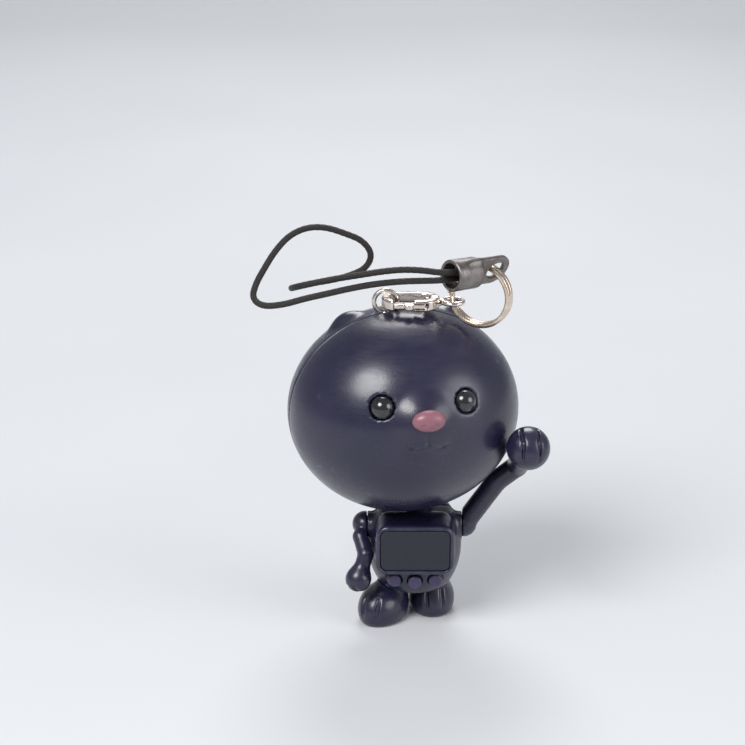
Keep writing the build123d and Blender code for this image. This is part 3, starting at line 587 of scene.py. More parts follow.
def display_dots():
    """Reflective panel with the faint grid of its cells."""
    material, tree, shader, where = fresh("lcd")
    axes = linked(tree, "ShaderNodeSeparateXYZ", {"Vector": where})
    lines = []
    for axis in ("X", "Z"):
        turns = maths(tree, "MULTIPLY", axes.outputs[axis], 2 * math.pi / (DOT_PITCH * MM))
        lines.append(maths(tree, "SINE", turns))
    grid = maths(tree, "MAXIMUM", *lines)
    tone = ramp(tree, grid, [(0.70, (0.085, 0.095, 0.085)), (0.97, (0.055, 0.062, 0.056))])
    tree.links.new(tone, shader.inputs["Base Color"])
    roughen(tree, shader, noise(tree, where, 700.0), (0.3, 0.35), (0.7, 0.5))
    return material


def solder_mask():
    material, tree, shader, where = fresh("board")
    traces = linked(tree, "ShaderNodeTexBrick", {"Vector": where, "Scale": 700.0, "Mortar Size": 0.03})
    traces.inputs["Color1"].default_value = (0.018, 0.14, 0.06, 1)
    traces.inputs["Color2"].default_value = (0.015, 0.12, 0.05, 1)
    traces.inputs["Mortar"].default_value = (0.05, 0.24, 0.10, 1)
    tree.links.new(traces.outputs["Color"], shader.inputs["Base Color"])
    roughen(tree, shader, noise(tree, where, 900.0), (0.3, 0.3), (0.7, 0.45))
    return material


def braided_cord():
    """Two crossing sets of strands, drawn from the cord's own coordinates, with painted shade in the grooves
    between them and painted light on their crests.
    """
    material, tree, shader, where = fresh("cord_fabric")
    uv = tree.nodes.new("ShaderNodeTexCoord").outputs["UV"]
    parts = linked(tree, "ShaderNodeSeparateXYZ", {"Vector": uv})
    strands = []
    for lean in (1, -1):
        lengthwise = maths(tree, "MULTIPLY", parts.outputs["X"], 2 * math.pi * 0.9)
        around = maths(tree, "MULTIPLY", parts.outputs["Y"], lean * 2 * math.pi * STRANDS)
        strands.append(maths(tree, "SINE", maths(tree, "ADD", lengthwise, around)))
    weave = maths(tree, "MAXIMUM", *strands)
    fuzz = noise(tree, where, 2400.0, 5.0)
    # painted shade and light: colour follows the weave, dark in the grooves between strands, lighter on their
    # crests
    tone = ramp(tree, weave, [(0.15, (0.004, 0.003, 0.003)), (0.95, (0.022, 0.017, 0.015))])
    tree.links.new(tone, shader.inputs["Base Color"])
    roughen(tree, shader, fuzz, (0.3, 0.55), (0.7, 0.8))
    bump(tree, shader, weave, 0.5, 0.00008)
    shader.inputs["Sheen Weight"].default_value = 0.1
    shader.inputs["Sheen Roughness"].default_value = 0.4
    return material


# slot: deep and pale pigment, colour of the rubbed edges, roughness, clear coat
PLASTICS = {
    "navy_plastic": ((0.010, 0.010, 0.034), (0.018, 0.015, 0.042), (0.065, 0.06, 0.12), 0.30, 0.25),
    "button_plastic": ((0.04, 0.03, 0.08), (0.055, 0.04, 0.10), (0.15, 0.12, 0.22), 0.36, 0.1),
    # nose: a real nose pad whose dusky pink is a painted warm reflection
    "nose_plastic": ((0.22, 0.085, 0.12), (0.30, 0.12, 0.15), (0.45, 0.28, 0.3), 0.38, 0.15),
    "black_gloss": ((0.006, 0.006, 0.008), (0.010, 0.010, 0.014), (0.03, 0.03, 0.035), 0.12, 0.8),
    "pin_plastic": ((0.012, 0.014, 0.055), (0.018, 0.018, 0.065), (0.06, 0.06, 0.12), 0.45, 0.0),
    "epoxy": ((0.010, 0.010, 0.011), (0.016, 0.016, 0.017), (0.04, 0.04, 0.04), 0.3, 0.2),
    "grey_rubber": ((0.18, 0.18, 0.19), (0.25, 0.25, 0.26), (0.35, 0.35, 0.36), 0.7, 0.0),
}
# slot: bright and tarnished metal, roughness; on the two chromes both colours also carry a painted warm reflection
METALS = {
    "steel": ((0.62, 0.62, 0.62), (0.48, 0.47, 0.45), 0.28),
    "cell_can": ((0.66, 0.66, 0.65), (0.55, 0.54, 0.52), 0.22),
    "brass": ((0.72, 0.53, 0.24), (0.55, 0.38, 0.17), 0.3),
    "screw_steel": ((0.48, 0.48, 0.49), (0.33, 0.32, 0.31), 0.3),
    # clasp and ring: their copper-warm tint, strongest in the tarnished colour, is a painted reflection of a warm
    # lamp
    "clasp_chrome": ((0.80, 0.74, 0.69), (0.60, 0.50, 0.43), 0.14),
    "ring_chrome": ((0.80, 0.70, 0.60), (0.62, 0.46, 0.34), 0.15),
    "cap_metal": ((0.27, 0.25, 0.24), (0.15, 0.13, 0.12), 0.34),
}


def make_materials():
    """Every material by its slot. Blender may number the names, so slots aren't read from them."""
    made = {
        "smoked_lens": smoked_lens(),
        "lcd": display_dots(),
        "board": solder_mask(),
        "cord_fabric": braided_cord(),
    }
    made |= {slot: moulded_plastic(slot, *look) for slot, look in PLASTICS.items()}
    made |= {slot: plated_metal(slot, *look) for slot, look in METALS.items()}
    return made


# --- head ---
def skull_reach():
    """Distance from the skull's centre to its surface along the neck's axis."""
    across = math.sin(HEAD_TILT) * math.cos(HEAD_TURN)
    return 1 / math.sqrt(across**2 / HEAD_HALF[0] ** 2 + (1 - across**2) / HEAD_HALF[2] ** 2)


CROWN = skull_reach()
HEAD_CENTRE = CROWN + NECK_GAP
NECK_TURN = Matrix.Rotation(-HEAD_TILT, 4, "Y")
FACE_TURN = Matrix.Rotation(HEAD_TILT, 4, "Y") @ Matrix.Rotation(HEAD_TURN, 4, "Z")
SKULL_PLACE = Matrix.Translation(NECK_POINT) @ NECK_TURN @ Matrix.Translation((0, 0, HEAD_CENTRE))
FACE_PLACE = SKULL_PLACE @ FACE_TURN


def turned(p, matrix):
    """The points after the turn of a matrix."""
    return p @ np.array(matrix.to_3x3()).T


def skull_y(x, z):
    share = 1 - (x / HEAD_HALF[0]) ** 2 - (z / HEAD_HALF[2]) ** 2
    return -HEAD_HALF[1] * math.sqrt(share)


def eye_place(side):
    x = side * EYE_X
    y = skull_y(x, EYE_Z)
    normal = Vector((x / HEAD_HALF[0] ** 2, y / HEAD_HALF[1] ** 2, EYE_Z / HEAD_HALF[2] ** 2))
    return Vector((x, y, EYE_Z)) - normal.normalized() * EYE_SINK


def smile(p):
    """Engraved mouth: a short stem under the nose and a curve to each side."""
    line = capsule(p, SMILE_TOP, SMILE_FORK, SMILE_RADIUS, SMILE_RADIUS)
    for side in (-1, 1):
        dip = mirrored(SMILE_DIP, side)
        end = mirrored(SMILE_END, side)
        line = join(line, capsule(p, SMILE_FORK, dip, SMILE_RADIUS, SMILE_RADIUS), 0.2)
        line = join(line, capsule(p, dip, end, SMILE_RADIUS, SMILE_END_RADIUS), 0.2)
    return line


def head_field(p):
    skull = ellipsoid(p, (0, 0, 0), HEAD_HALF)
    shape = join(skull, ellipsoid(p, MUZZLE_PLACE, MUZZLE_HALF), 1.2)
    for side in (-1, 1):
        ear = ellipsoid(p, mirrored(EAR_PLACE, side), EAR_HALF)
        dish = ball(p, mirrored(EAR_DISH_PLACE, side), EAR_DISH_RADIUS)
        shape = join(shape, cut(ear, dish, 0.5), 1.2)
        shape = cut(shape, ball(p, eye_place(side), EYE_RADIUS + EYE_GAP), 0.25)
    shape = cut(shape, smile(p), 0.25)
    half = [size - HEAD_WALL for size in HEAD_HALF]
    shape = cut(shape, ellipsoid(p, (0, 0, 0), half), 0.3)
    q = turned(p, FACE_TURN)
    shape = cut(shape, rod(q, (0, 0, -HEAD_CENTRE), 2, NECK_BORE, 12), 0.3)
    return cut(shape, rod(q, (0, 0, CROWN), 2, EYELET_BORE, 3.0), 0.15)


def front_half(field):
    return lambda p: keep(field(p), p[:, 1] + SEAM_HALF_GAP, SEAM_ROUND)


def rear_half(field):
    return lambda p: keep(field(p), SEAM_HALF_GAP - p[:, 1], SEAM_ROUND)


def nose_field(p):
    pad = ellipsoid(p, NOSE_PLACE, NOSE_HALF)
    for side in (-1, 1):
        pad = cut(pad, ball(p, mirrored(NOSTRIL_PLACE, side), NOSTRIL_RADIUS), 0.25)
    return cut(pad, ellipsoid(p, (0, 0, 0), HEAD_HALF), 0.1)


def eye_field(side):
    place = eye_place(side)
    half = [size - EYE_BACK for size in HEAD_HALF]

    def field(p):
        return cut(ball(p, place, EYE_RADIUS), ellipsoid(p, (0, 0, 0), half), 0.1)

    return field


def make_head(materials):
    reach = [size + 0.5 for size in HEAD_HALF]
    low = (-reach[0], MUZZLE_PLACE[1] - MUZZLE_HALF[1] - 0.4, -reach[2])
    high = (reach[0], 0.4, reach[2])
    front = mould("head_front", front_half(head_field), low, high, 0.4, FACE_PLACE)
    dress(front, materials, "head", "navy_plastic", "head_front_shell")
    low = (-reach[0], -0.4, -reach[2])
    rear = mould("head_rear", rear_half(head_field), low, reach, 0.4, FACE_PLACE)
    dress(rear, materials, "head", "navy_plastic", "head_rear_shell")
    low = Vector(NOSE_PLACE) - Vector((3.3, 2.0, 2.7))
    high = Vector(NOSE_PLACE) + Vector((3.3, 3.0, 2.7))
    nose = mould("nose_pad", nose_field, low, high, 0.14, FACE_PLACE)
    # the nose's pink material is a painted warm reflection on a real nose pad
    dress(nose, materials, "head", "nose_plastic", "nose")
    for side, name in ((-1, "left"), (1, "right")):
        middle = eye_place(side)
        margin = Vector((1, 1, 1)) * (EYE_RADIUS + 0.2)
        low = middle - margin
        bead = mould(f"eye_bead_{name}", eye_field(side), low, middle + margin, 0.14, FACE_PLACE)
        dress(bead, materials, "head", "black_gloss", f"eye_{name}")


# --- torso ---
def egg(p, shrink=0.0):
    body = ellipsoid(p, BODY_PLACE, [size - shrink for size in BODY_HALF])
    body = keep(body, BODY_BOTTOM + shrink - p[:, 2], 0.8)
    return keep(body, p[:, 2] - BODY_TOP + shrink, 0.6)


def button_surface(x):
    share = 1 - ((BUTTON_Z - BODY_PLACE[2]) / BODY_HALF[2]) ** 2
    radius = BODY_HALF[0] * math.sqrt(share)
    return -math.sqrt(radius**2 - x**2)


def torso_field(p):
    radius = math.sqrt(SHOULDER_RADIUS**2 - (SHOULDER_X - SHOULDER_FACE_X) ** 2)
    return join(egg(p), rod(p, (0, 0, SHOULDER_Z), 0, radius, SHOULDER_FACE_X, 0.15), 0.9)


def torso_holes(p, shape):
    shape = cut(shape, rod(p, (0, 0, SHOULDER_Z), 0, ARM_PEG_RADIUS + ARM_PEG_GAP, BIG, 0.0), 0.15)
    q = turned(p - np.array(NECK_POINT), NECK_TURN.inverted())
    return cut(shape, rod(q, (0, 0, 0), 2, NECK_BORE, 4.0), 0.15)


def torso_front_field(p):
    bezel = plate(p, BEZEL_FRONT, BEZEL_BACK, BEZEL_SIZE, BEZEL_CORNER, BEZEL_ROUND)
    shape = join(torso_field(p), bezel, 0.7)
    shape = cut(shape, egg(p, BODY_WALL), 0.2)
    seat = [size + 2 * LENS_GAP for size in LENS_SIZE]
    shape = cut(shape, plate(p, BEZEL_FRONT - 1.2, LENS_BACK, seat, LENS_CORNER, 0.05), 0.25)
    shape = cut(shape, plate(p, -10, -2, VIEW_SIZE, VIEW_CORNER, 0.0), 0.1)
    panel = (PANEL_POCKET_FRONT, PANEL_POCKET_BACK, PANEL_POCKET, PANEL_POCKET_CORNER)
    shape = cut(shape, plate(p, *panel, 0.0), 0.1)
    for index in (-1, 0, 1):
        place = (index * BUTTON_PITCH, -6, BUTTON_Z)
        shape = cut(shape, rod(p, place, 1, BUTTON_RADIUS + BUTTON_GAP, 4.0, 0.0), 0.3)
    return torso_holes(p, shape)


def door_outline(p, grow):
    disc = np.hypot(p[:, 0], p[:, 2] - CELL_Z) - DOOR_RADIUS - grow
    tab = np.hypot(p[:, 0], p[:, 2] - DOOR_SCREW_Z) - DOOR_TAB_RADIUS - grow
    middle = (CELL_Z + DOOR_SCREW_Z) / 2
    height = (CELL_Z - DOOR_SCREW_Z) / 2
    strip = np.maximum(np.abs(p[:, 0]) - DOOR_TAB_RADIUS - grow, np.abs(p[:, 2] - middle) - height)
    return join(join(disc, tab), strip, 0.6)


def screw_hole(p, shape, x, seat_y, z, soft):
    """A hole for a screw driven from the back, whose head rests at seat_y."""
    depth = 5
    head = rod(p, (x, seat_y + depth, z), 1, SCREW_HEAD_HOLE, depth, 0.0)
    return cut(cut(shape, head, soft), rod(p, (x, 0, z), 1, SCREW_HOLE, BIG, 0.0))


def torso_rear_field(p):
    shape = cut(torso_field(p), egg(p, BODY_WALL), 0.2)
    cup = rod(p, (0, 2.4, CELL_Z), 1, CELL_HOLE_RADIUS + CUP_WALL, 3.4)
    shape = join(shape, keep(cup, egg(p, BODY_WALL / 2)))
    shape = cut(shape, rod(p, (0, 3.0, CELL_Z), 1, CELL_HOLE_RADIUS, 6.0, 0.0), 0.1)
    recess = np.maximum(door_outline(p, DOOR_GAP), DOOR_INNER - p[:, 1])
    shape = cut(shape, recess, 0.25)
    for side in (-1, 1):
        x = side * CASE_SCREW_X
        boss = rod(p, (x, 2.9, CASE_SCREW_Z), 1, SCREW_BOSS_RADIUS, 2.9)
        shape = join(shape, keep(boss, egg(p, BODY_WALL / 2)))
        shape = screw_hole(p, shape, x, CASE_SCREW_HEAD_Y, CASE_SCREW_Z, 0.25)
    return torso_holes(p, shape)


def door_field(p):
    shape = keep(egg(p), door_outline(p, -DOOR_TRIM), 0.3)
    shape = keep(shape, DOOR_INNER + DOOR_TRIM - p[:, 1], 0.1)
    for step in (-1, 0, 1):
        z = GRIP_Z + GRIP_PITCH * step
        y = BODY_HALF[1] * math.sqrt(1 - ((z - BODY_PLACE[2]) / BODY_HALF[2]) ** 2)
        reach = GRIP_REACH - abs(step) / 2
        groove = capsule(p, (-reach, y, z), (reach, y, z), GRIP_RADIUS, GRIP_RADIUS)
        shape = cut(shape, groove, 0.15)
    return screw_hole(p, shape, 0, DOOR_INNER + DOOR_SCREW_SEAT, DOOR_SCREW_Z, 0.2)


def lens_field(p):
    return plate(p, LENS_FRONT, LENS_BACK, LENS_SIZE, LENS_CORNER, LENS_ROUND)


def button_field(x):
    front = button_surface(x) - BUTTON_PROUD

    def field(p):
        cap = rod(p, (x, front + 1.1, BUTTON_Z), 1, BUTTON_RADIUS, 1.1, 0.4)
        dish_y = front + BUTTON_DISH - BUTTON_DISH_RADIUS
        cap = cut(cap, ball(p, (x, dish_y, BUTTON_Z), BUTTON_DISH_RADIUS), 0.15)
        flange_y = front + BUTTON_PROUD + BUTTON_FLANGE_DEPTH
        return join(cap, rod(p, (x, flange_y, BUTTON_Z), 1, BUTTON_FLANGE_RADIUS, 0.2))

    return field


def make_torso(materials):
    reach = BODY_HALF[0] + 0.4
    low = (-reach, BEZEL_FRONT - 0.3, BODY_BOTTOM - 0.3)
    high = (reach, 0.3, BODY_TOP + 0.3)
    front = mould("torso_front", front_half(torso_front_field), low, high, 0.22)
    dress(front, materials, "torso", "navy_plastic", "torso_front_shell")
    low = (-reach, -1.4, BODY_BOTTOM - 0.3)
    high = (reach, reach, BODY_TOP + 0.3)
    rear = mould("torso_rear", rear_half(torso_rear_field), low, high, 0.22)
    dress(rear, materials, "torso", "navy_plastic", "torso_rear_shell")
    low = (-DOOR_RADIUS - 0.4, DOOR_INNER - 0.3, DOOR_SCREW_Z - DOOR_TAB_RADIUS - 0.4)
    high = (DOOR_RADIUS + 0.4, reach, CELL_Z + DOOR_RADIUS + 0.4)
    door = mould("battery_cover", door_field, low, high, 0.16)
    dress(door, materials, "door", "navy_plastic", "battery_door")
    low = (-6.3, LENS_FRONT - 0.1, SCREEN_Z - 4)
    lens = mould("lens", lens_field, low, (6.3, LENS_BACK + 0.1, SCREEN_Z + 4), 0.16)
    dress(lens, materials, "torso", "smoked_lens", "display_lens")
    for index, name in enumerate(("left", "middle", "right")):
        x = (index - 1) * BUTTON_PITCH
        front_y = button_surface(x) - BUTTON_PROUD
        low = (x - 1.8, front_y - 0.2, BUTTON_Z - 1.8)
        high = (x + 1.8, front_y + 2.8, BUTTON_Z + 1.8)
        cap = mould(f"push_{name}", button_field(x), low, high, 0.11)
        dress(cap, materials, f"button_{name}", "button_plastic", f"button_{name}")


# --- arms and feet ---
def arm_field(side, bends, paw, limb_radius, paw_radius):
    shoulder = np.array((side * SHOULDER_X, 0, SHOULDER_Z))
    chain = [shoulder, *(np.array(bend, float) for bend in bends), np.array(paw, float)]
    paw = chain[-1]
    reach = (paw - chain[-2]) / np.linalg.norm(paw - chain[-2])
    across = np.cross(reach, (0, 0, 1) if abs(reach[2]) < 0.95 else (1, 0, 0))
    across /= np.linalg.norm(across)
    outward = np.cross(across, reach)

    def field(p):
        limb = ball(p, shoulder, SHOULDER_RADIUS)
        for start, end in zip(chain, chain[1:]):
            limb = join(limb, capsule(p, start, end, limb_radius, limb_radius), 0.25)
        limb = join(limb, ball(p, paw, paw_radius), 1.0)
        for hand in (-1, 1):
            tip = paw + (reach * FINGER_REACH + across * hand * FINGER_SPREAD) * paw_radius
            for up in (1, -1):
                end = tip + (outward * up * FINGER_RISE - reach * FINGER_BACK) * paw_radius
                limb = cut(limb, capsule(p, end, tip, 0.22, 0.3), 0.3)
        half_face = (SHOULDER_FACE_X + SHOULDER_GAP) / 2
        boss = rod(p, (side * half_face, 0, SHOULDER_Z), 0, SHOULDER_RADIUS + 1, half_face, 0.0)
        limb = cut(limb, boss, 0.2)
        middle = side * (ARM_PEG_END + SHOULDER_X) / 2
        peg = rod(p, (middle, 0, SHOULDER_Z), 0, ARM_PEG_RADIUS, (SHOULDER_X - ARM_PEG_END) / 2)
        return join(limb, peg)

    return field


def foot_field(place, turn, leg):
    back_turn = Matrix.Rotation(-turn, 4, "Z")

    def field(p):
        q = turned(p - np.array((*place, 0)), back_turn)
        sole = ellipsoid(q, (0, 0, FOOT_Z), FOOT_HALF)
        sole = keep(sole, -p[:, 2], 0.7)
        top = (leg[0], leg[1], BODY_BOTTOM + 1)
        shape = join(sole, capsule(p, (leg[0], leg[1], FOOT_Z + 1), top, LEG_RADIUS, LEG_RADIUS), 1.0)
        for side in (-1, 1):
            high = (side * TOE_X, -FOOT_HALF[1] * TOE_HIGH[0], FOOT_Z + TOE_HIGH[1])
            low = (side * TOE_X * 1.05, -FOOT_HALF[1], FOOT_Z)
            shape = cut(shape, capsule(q, high, low, 0.3, 0.42), 0.35)
        return cut(shape, egg(p, 0.0) - 0.02, 0.15)

    return field


def make_limbs(materials):
    field = arm_field(-1, LOW_BENDS, LOW_PAW, LOW_LIMB_RADIUS, LOW_PAW_RADIUS)
    arm = mould("arm_low", field, (-12.8, -9.0, 6.6), (-5.0, 2.8, 20.2), 0.2)
    dress(arm, materials, "arm_left", "navy_plastic", "arm_left")
    field = arm_field(1, RAISED_BENDS, RAISED_PAW, RAISED_LIMB_RADIUS, RAISED_PAW_RADIUS)
    arm = mould("arm_raised", field, (5.0, -14.2, 14.6), (23.8, 3.4, 40.2), 0.24)
    dress(arm, materials, "arm_right", "navy_plastic", "arm_right")
    left = ("left", LEFT_FOOT, LEFT_FOOT_TURN, LEFT_LEG)
    right = ("right", RIGHT_FOOT, RIGHT_FOOT_TURN, RIGHT_LEG)
    for name, place, turn, leg in (left, right):
        low = (place[0] - 6, place[1] - 6.2, -0.4)
        high = (place[0] + 6, place[1] + 6.2, BODY_BOTTOM + 2.6)
        foot = mould(f"{name}_foot", foot_field(place, turn, leg), low, high, 0.2)
        dress(foot, materials, "torso", "navy_plastic", f"foot_{name}")


# --- strap hardware ---
def eyelet_field(p):
    """In the frame of the neck with the origin at the skull's centre."""
    centre_z = CROWN + EYELET_RISE
    ring = torus(p, (0, 0, centre_z), 1, EYELET_RADIUS, WIRE)
    shank = rod(p, (0, 0, centre_z - EYELET_RADIUS - 1.2), 2, 0.62, 1.3)
    return join(ring, shank, 0.5)


def band(p, half_thick, edge):
    """Flat ring of the clasp in XY, with straight sides and round ends."""
    x = p[:, 0] - CLASP_MIDDLE
    straight = CLASP_HALF[0] - CLASP_HALF[1]
    along = x - np.clip(x, -straight, straight)
    across = np.hypot(along, p[:, 1])
    middle = CLASP_HALF[1] - CLASP_BAND / 2
    side = np.abs(across - middle) - CLASP_BAND / 2 + edge
    end = np.abs(p[:, 2]) - half_thick + edge
    return bevelled(side, end, edge)


def clasp_field(p):
    inner = -CLASP_HALF[1] + CLASP_BAND + 0.3
    body = band(p, CLASP_HALF[2], 0.45)
    neck = rod(p, (CLASP_END - 0.75, 0, 0), 0, 1.0, 0.75, 0.3)
    body = join(body, neck, 0.4)
    body = cut(body, block(p, (GATE[0], -BIG, -BIG), (GATE[1], inner, BIG), 0.0), 0.2)
    slot = block(p, (CLEVIS[0], -BIG, -CLEVIS_HALF), (CLEVIS[1], inner, CLEVIS_HALF), 0.0)
    body = cut(body, slot, 0.15)
    return cut(body, rod(p, (CLASP_END - 1, 0, 0), 0, 0.6, 2.0, 0.0), 0.1)


def lever_field(p):
    limit = -CLASP_HALF[1] + CLASP_BAND + 0.2
    reach = block(p, (GATE[0] + 0.1, -BIG, -BIG), (PIVOT_X + 0.75, limit, BIG), 0.0)
    lever = keep(band(p, LEVER_HALF, 0.2), reach, 0.2)
    thumb = rod(p, (THUMB_X, -CLASP_HALF[1], 0), 2, THUMB_RADIUS, LEVER_HALF, 0.2)
    lever = join(lever, thumb, 0.3)
    for index in (-1, 0, 1):
        x = THUMB_X + THUMB_GROOVE_PITCH * index
        groove = rod(p, (x, -CLASP_HALF[1] - 0.85, 0), 2, 0.14, 1.0, 0.0)
        lever = cut(lever, groove, 0.08)
    return lever


def swivel_field(p):
    loop = torus(p, (SWIVEL_X, 0, 0), 2, SWIVEL_EYE_RADIUS, WIRE)
    head_x = CLASP_END - CLASP_BAND - 0.55
    post_end = SWIVEL_X - SWIVEL_EYE_RADIUS
    middle = (head_x + post_end) / 2
    post = rod(p, (middle, 0, 0), 0, SWIVEL_POST_RADIUS, post_end - middle, 0.1)
    head = rod(p, (head_x, 0, 0), 0, SWIVEL_HEAD_RADIUS, 0.3, 0.2)
    return join(join(loop, post, 0.4), head, 0.15)


def make_clasp(materials):
    low = (-2.8, -1.2, CROWN - 3)
    high = (2.8, 1.2, CROWN + 4.4)
    eyelet = mould("crown_eyelet", eyelet_field, low, high, 0.1, SKULL_PLACE)
    dress(eyelet, materials, "head", "clasp_chrome", "strap_eyelet")
    place = Matrix.Translation(CLASP_POINT)
    body = mould("clasp_frame", clasp_field, (-1.0, -3.3, -1.2), (9.5, 3.3, 1.2), 0.11, place)
    dress(body, materials, "clasp", "clasp_chrome", "clasp_body")
    lever = mould("clasp_gate", lever_field, (1.1, -4.1, -0.7), (7.0, -1.2, 0.7), 0.08, place)
    dress(lever, materials, "lever", "clasp_chrome", "clasp_lever")
    swivel = mould("swivel_loop", swivel_field, (6.6, -2.4, -1.0), (14.1, 2.4, 1.0), 0.09, place)
    dress(swivel, materials, "swivel", "clasp_chrome", "swivel_eye")


RING_OUTWARD = Vector((math.cos(RING_TURN), -math.sin(RING_TURN), 0))
RING_AXIS = Vector((math.sin(RING_TURN), math.cos(RING_TURN), 0))
RING_REACH = math.sqrt(RING_RADIUS**2 - RING_LIFT**2)
RING_CENTRE = SWIVEL_POINT + RING_OUTWARD * RING_REACH + Vector((0, 0, RING_LIFT))


def ring_layer(turns):
    """Offset of the wire along the ring's axis after so many turns of the two."""
    half = RING_WIRE / 2 + 0.03
    share = min(1.0, max(0.0, (turns - 1.0) / 0.06 + 0.5))
    return half * math.cos(math.pi * share)


def make_ring(materials):
    """Two turns of flat wire with rounded edges; it steps from one layer to the other once."""
    start = math.radians(200)
    gap = math.radians(16)
    steps = 220
    corners = 12
    drawing = bmesh.new()
    rows = []
    for index in range(steps + 1):
        travelled = gap + (4 * math.pi - 2 * gap) * index / steps
        angle = start + travelled
        outward = RING_OUTWARD * math.cos(angle) + Vector((0, 0, math.sin(angle)))
        layer = RING_CENTRE + RING_AXIS * ring_layer(travelled / (2 * math.pi))
        taper = min(1.0, 0.55 + 0.45 * min(index, steps - index) / 3)
        row = []
        for corner in range(corners):
            around = 2 * math.pi * (corner + 0.5) / corners
            c = math.cos(around)
            s = math.sin(around)
            half = RING_WIRE / 2 * taper
            out = half * math.copysign(abs(c) ** RING_SQUARE, c)
            up = half * math.copysign(abs(s) ** RING_SQUARE, s)
            point = layer + outward * (RING_RADIUS + out) + RING_AXIS * up
            row.append(drawing.verts.new(point * MM))
        rows.append(row)
    skin(drawing, rows)
    bmesh.ops.recalc_face_normals(drawing, faces=drawing.faces)
    piece = add_drawn("key_ring", drawing)
    dress(piece, materials, "ring", "ring_chrome", "split_ring")


CAP_AXIS = Vector(CAP_DIRECTION).normalized()
CAP_NORMAL = (RING_TANGENT - CAP_AXIS * RING_TANGENT.dot(CAP_AXIS)).normalized()
CAP_SIDE = CAP_NORMAL.cross(CAP_AXIS)
CAP_TURN = Matrix((CAP_AXIS, CAP_SIDE, CAP_NORMAL)).transposed().to_4x4()
CAP_PLACE = Matrix.Translation(CAP_POINT) @ CAP_TURN


def cap_field(p):
    """A flat eye with the ring's hole, run into a round cup with a beaded rim."""
    along = p[:, 0] - np.clip(p[:, 0], 0, CAP_CUP_START + 2.0)
    outline = np.hypot(along, p[:, 1]) - CAP_WIDTH / 2 + 0.2
    flat = np.abs(p[:, 2]) - CAP_PLATE / 2 + 0.2
    eye = bevelled(outline, flat, 0.2)
    cup_middle = (CAP_CUP_START + CAP_LENGTH) / 2
    cup = rod(p, (cup_middle, 0, 0), 0, CAP_CUP_RADIUS, CAP_LENGTH - cup_middle, 1.0)
    rim = torus(p, (CAP_LENGTH - 0.35, 0, 0), 0, CAP_CUP_RADIUS - 0.32, 0.34)
    sleeve = rod(p, (CAP_LENGTH - 1.2, 0, 0), 0, CAP_CUP_RADIUS - 0.05, 1.15, 0.2)
    shape = join(eye, cup, 0.8)
    shape = join(shape, join(sleeve, rim, 0.2), 0.2)
    shape = cut(shape, rod(p, (0, 0, 0), 2, CAP_HOLE_RADIUS, 3.0, 0.0), 0.25)
    return cut(shape, rod(p, (CAP_LENGTH, 0, 0), 0, CAP_BORE_RADIUS, CAP_BORE_DEPTH, 0.3), 0.15)


def make_cap(materials):
    cap = mould("end_cap", cap_field, (-3.2, -3.2, -3.0), (10.3, 3.2, 3.0), 0.14, CAP_PLACE)
    dress(cap, materials, "cap", "cap_metal", "cord_cap")


# --- cord: the same route as the CAD, in metres ---
def cap_point(x, y):
    return CAP_PLACE @ Vector((x, y, 0)) * MM


CORD_ROUTE = [
    (0.0011, -0.0118, 0.0686),
    (-0.0024, -0.0122, 0.0689),
    (-0.0062, -0.0125, 0.0686),
    (-0.0101, -0.0127, 0.0680),
    (-0.0138, -0.0127, 0.0674),
    (-0.0175, -0.0126, 0.0666),
    (-0.0202, -0.0115, 0.0656),
    (-0.0215, -0.0081, 0.0642),
    (-0.0204, -0.0048, 0.0635),
    (-0.0177, -0.0032, 0.0636),
    (-0.0143, -0.0031, 0.0641),
    (-0.0110, -0.0033, 0.0651),
    (-0.0085, -0.0037, 0.0665),
    (-0.0075, -0.0038, 0.0690),
    (-0.0092, -0.0037, 0.0714),
    (-0.0122, -0.0036, 0.0726),
    (-0.0154, -0.0036, 0.0737),
    (-0.0186, -0.0040, 0.0738),
    (-0.0216, -0.0051, 0.0727),
    (-0.0240, -0.0067, 0.0704),
    (-0.0258, -0.0089, 0.0679),
    (-0.0271, -0.0109, 0.0660),
    (-0.0277, -0.0130, 0.0641),
    (-0.0259, -0.0147, 0.0632),
    (-0.0224, -0.0150, 0.0636),
    (-0.0189, -0.0148, 0.0646),
    (-0.0154, -0.0145, 0.0653),
    (-0.0116, -0.0141, 0.0661),
    (-0.0074, -0.0134, 0.0667),
    (-0.0032, -0.0129, 0.0670),
    (0.0006, -0.0125, 0.0670),
]


def route_curve():
    """The cord's smooth line, with no thickness yet, both ends at the bottom of the cap's bore."""
    bottom = CAP_LENGTH - CAP_BORE_DEPTH
    clear = CAP_LENGTH + CORD_LEAD
    side = CORD_SPACING / 2
    points = [cap_point(bottom, side), cap_point(clear, side)]
    points += [Vector(point) for point in CORD_ROUTE]
    points += [cap_point(clear, -side), cap_point(bottom, -side)]
    curve = bpy.data.curves.new("cord_route", "CURVE")
    curve.dimensions = "3D"
    curve.resolution_u = 24
    spline = curve.splines.new("NURBS")
    spline.points.add(len(points) - 1)
    for control, point in zip(spline.points, points):
        control.co = (*point, 1)
    spline.order_u = 3
    spline.use_endpoint_u = True
    return curve


def line_of(curve):
    """Points of the curve's own line."""
    helper = bpy.data.objects.new("cord_line", curve)
    bpy.context.scene.collection.objects.link(helper)
    bpy.context.view_layer.update()
    mesh = bpy.data.meshes.new_from_object(helper)
    line = [vertex.co.copy() for vertex in mesh.vertices]
    bpy.data.objects.remove(helper)
    bpy.data.meshes.remove(mesh)
    return line


def resample(line, spacing):
    """Evenly spaced points along a line, and how far along it each lies."""
    lengths = [0.0]
    for a, b in zip(line, line[1:]):
        lengths.append(lengths[-1] + (b - a).length)
    count = round(lengths[-1] / spacing)
    wanted = np.linspace(0, lengths[-1], count + 1)
    columns = [np.interp(wanted, lengths, [point[axis] for point in line]) for axis in range(3)]
    return [Vector(point) for point in zip(*columns)], wanted


